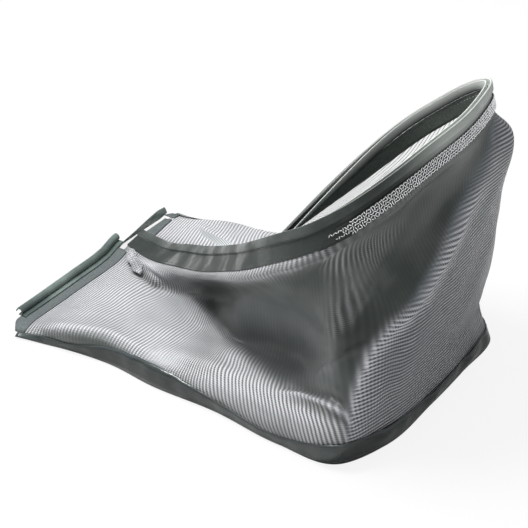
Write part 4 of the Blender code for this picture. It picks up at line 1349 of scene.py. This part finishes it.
@dataclass
class FrontEdge:
    """Tapes along the collapsed open front, and the cloth bunched beside the rim's end.

    Attributes:
        tape_rows: rows of points along a tape.
        tape_width: width of a tape as its weave counts it.
        stations: rings along the bunched cloth.
        ring: points round it.
        pleats: folds round it.
        half_width: half its width in metres.
        half_height: half its thickness in metres.
    """

    tape_rows: int = 60
    tape_width: float = 0.024
    stations: int = 48
    ring: int = 40
    pleats: int = 6
    half_width: float = 0.0098
    half_height: float = 0.0032

    def tape(self, name: str, node: str, near: bool, reach: float, swell: float, look: Material) -> None:
        """Makes a solid tape over a stretch of the cloth's front edge, as long as its node.

        Args:
            name: the piece's name.
            node: the node that it stands for.
            near: whether it is on the near side.
            reach: how far it stands forward of the cloth.
            swell: length over which it comes to stand that far.
            look: its material.
        """
        edge, side = (0.0, 1.0) if near else (WALL.knots[-1], -1.0)
        sheet = WALL.sheet(edge, edge + side * FRONT_TAPE_LAP, 4, self.tape_rows)
        columns = sheet.points + sheet.normals * side * (CLOTH / 2 + LOOSE_GAP + TAPE / 2)
        ahead = reach * (0.15 + 0.85 * smooth(sheet.heights[0] / swell))
        forward = ahead[None, :, None] * np.array([1.0, 0, 0])
        grid = np.concatenate([*(columns[:1] - forward * share for share in (1.0, 0.66, 0.33)), columns])
        low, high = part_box(node)
        line = (columns[0] + CORNER)[:, 1]
        keep = np.where((line >= low[1] - 0.001) & (line <= high[1] + 0.001))[0]
        keep = slice(keep[0], keep[-1] + 1)
        places = np.linspace(0, self.tape_width, len(grid))[:, None]
        piece = grid_piece(name, grid[:, keep], places, sheet.heights[:1, keep], look, TAPE)
        placed(piece, "flange_tape", node)

    def tuck(self) -> None:
        """Makes the pleats of cloth pinched together beside the rim's near end."""
        low, high = (np.array(v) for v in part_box("near_hem_tuck"))
        sheet = WALL.sheet(0.0, 0.11, 60, 84)
        top = sheet.rows["flange"]
        steps = lengths_of(sheet.points[:, top])
        angles = np.linspace(0, 2 * math.pi, self.ring, endpoint=False)
        lift = np.sin(angles)
        rings = []
        for turn in np.linspace(0, 1, self.stations):
            column = int(np.searchsorted(steps, 0.014 + 0.064 * turn))
            run = lengths_of(sheet.points[column])
            size = 0.35 + 0.65 * math.sin(math.pi * (0.15 + 0.8 * turn))
            height = run[top] - 0.0090 - 0.020 * turn
            point, lower = (read(sheet.points[column], run, h) for h in (height, height - 0.0065))
            normal = unit(read(sheet.normals[column], run, height))
            ridge = np.where(lift > 0, 0.66 + 0.34 * np.cos(self.pleats * angles + 2.2 * turn), 0.9)
            middle = point + normal * (CLOTH / 2 + 2 * LOOSE_GAP + 0.003 * size)
            wide = self.half_width * size * (1 + 0.22 * math.sin(11 * turn)) * np.cos(angles)
            deep = self.half_height * size * lift * ridge
            rings.append(middle + wide[:, None] * unit(lower - point) + deep[:, None] * normal)
        rings = np.clip(np.array(rings), low - CORNER - 0.004, high - CORNER + 0.004)
        cloth = RibbedMesh().material("warp knit polyester mesh, bunched")
        piece = loft_piece("bunched_cloth", rings, cloth)
        mesh = piece.data
        layer = mesh.uv_layers.new(name="UVMap")
        for loop in mesh.loops:
            station, place = divmod(loop.vertex_index, self.ring)
            layer.data[loop.index].uv = (station * 0.0014, place * 0.0008)
        marks = {"ribs": 1.0, "tone": EVEN_TONE, "turned": 0.0}
        mark_points(mesh, {name: np.full(len(mesh.vertices), value) for name, value in marks.items()})
        placed(piece, "mesh_cloth", "near_hem_tuck")

    def build(self) -> None:
        """Makes the front tapes and dresses the two hook strips."""
        look = Webbing("#4E5556", "#727979", 0.0014).material("woven polyester edge tape")
        self.tape("near_front_tape", "near_front_flange", True, 0.0150, 0.027, look)
        self.tape("far_front_tape", "far_front_flange", False, 0.0110, 0.108, look)
        self.tape("far_tab", "far_corner_tab", False, 0.0110, 0.027, look)
        self.tuck()
        glossy = ExtrudedPlastic("#3B4745", "#96A5A0", 0.16).material("extruded vinyl, glossy")
        for node in ("near_front_channel", "far_front_channel"):
            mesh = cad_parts[node].data
            for index in range(len(mesh.materials)):
                mesh.materials[index] = glossy
            if not mesh.materials:
                mesh.materials.append(glossy)


@dataclass
class Studio:
    """Pale floor, plain soft light and the camera at the quarter view.

    Attributes:
        azimuth: direction of the view in degrees.
        elevation: its height in degrees.
        distance: of the camera.
        width: of what it sees, in metres.
        sensor: width of its sensor in millimetres.
        reach: half the width of the floor.
    """

    azimuth: float = 34.1
    elevation: float = 32.1
    distance: float = 9.0
    width: float = 528 * 0.0013
    sensor: float = 36.0
    reach: float = 6.0

    def camera(self) -> None:
        """Long-lens camera on the middle of the view."""
        a, e = math.radians(self.azimuth), math.radians(self.elevation)
        back = Vector((math.sin(a) * math.cos(e), -math.cos(a) * math.cos(e), math.sin(e)))
        target = Vector((0.1703, 0.145, 0)) + Vector(CORNER) + back * 0.13
        lens = bpy.data.cameras.new("camera")
        lens.sensor_width = self.sensor
        lens.lens = self.sensor * self.distance / self.width
        lens.clip_end = 100
        eye = linked("camera", lens)
        right = Vector((math.cos(a), math.sin(a), 0))
        turn = Matrix((right, back.cross(right), back)).transposed().to_4x4()
        eye.matrix_world = Matrix.Translation(target + back * self.distance) @ turn
        bpy.context.scene.camera = eye

    def lamp(self, name: str, place: tuple, aim: tuple, size: float, power: float) -> None:
        """Soft square lamp aimed at a point."""
        light = bpy.data.lights.new(name, "AREA")
        light.size = size
        light.energy = power
        lamp = linked(name, light)
        lamp.location = place
        lamp.rotation_euler = (Vector(aim) - Vector(place)).to_track_quat("-Z", "Y").to_euler()

    def world(self) -> None:
        """Even white room, a plain white where it is seen directly or through glass."""
        room = bpy.data.worlds.new("room")
        room.use_nodes = True
        bpy.context.scene.world = room
        tree = room.node_tree
        path = add(tree, "ShaderNodeLightPath").outputs
        rays = {0: path["Is Camera Ray"], 1: path["Is Transmission Ray"]}
        seen = add(tree, MATH, rays, operation="MAXIMUM")
        bright = add(tree, MATH, {0: seen, 1: 0.70, 2: 0.30}, operation="MULTIPLY_ADD")
        feed(tree, tree.nodes["Background"], {"Color": (1, 1, 1, 1), "Strength": bright})

    def floor(self) -> None:
        """Wide white sheet under the bag, seen almost evenly white."""
        mesh = bpy.data.meshes.new("floor")
        corners = ((-1, -1), (1, -1), (1, 1), (-1, 1))
        mesh.from_pydata([(x * self.reach, y * self.reach, -0.0004) for x, y in corners], [], [(0, 1, 2, 3)])
        made, tree, shader = new_material("white paper")
        feed(tree, shader, {"Base Color": (0.86, 0.86, 0.86, 1), "Roughness": 0.9})
        seen = add(tree, "ShaderNodeLightPath").outputs["Is Camera Ray"]
        share = add(tree, MATH, {0: seen, 1: 0.86}, operation="MULTIPLY")
        glow = add(tree, "ShaderNodeEmission", {"Color": (1, 1, 1, 1), "Strength": 1.0})
        both = add(tree, "ShaderNodeMixShader", {0: share, 1: shader, 2: glow})
        feed(tree, tree.nodes["Material Output"], {0: both})
        mesh.materials.append(made)
        linked("floor", mesh)

    def build(self) -> None:
        """Sets the camera, the light and the floor."""
        self.camera()
        self.world()
        self.floor()
        self.lamp("key", (-0.8, -0.3, 2.1), (0, 0, 0.1), 0.9, 54)
        self.lamp("fill", (1.8, -1.8, 0.9), (0, 0, 0.15), 1.6, 6)
        self.lamp("top", (0.3, 0.6, 2.2), (0, 0, 0.1), 1.4, 10)
        bpy.context.scene.view_settings.view_transform = "Standard"


def main() -> None:
    """Builds the bag's pieces in order and reports them."""
    logging.basicConfig(level=logging.INFO, format="%(name)s: %(message)s")
    for assembly in (Studio(), FloorTray(), RimStrip(), ClothWalls(), FrontEdge()):
        assembly.build()
        LOG.info("%s built", type(assembly).__name__)


if __name__ == "__main__":
    main()
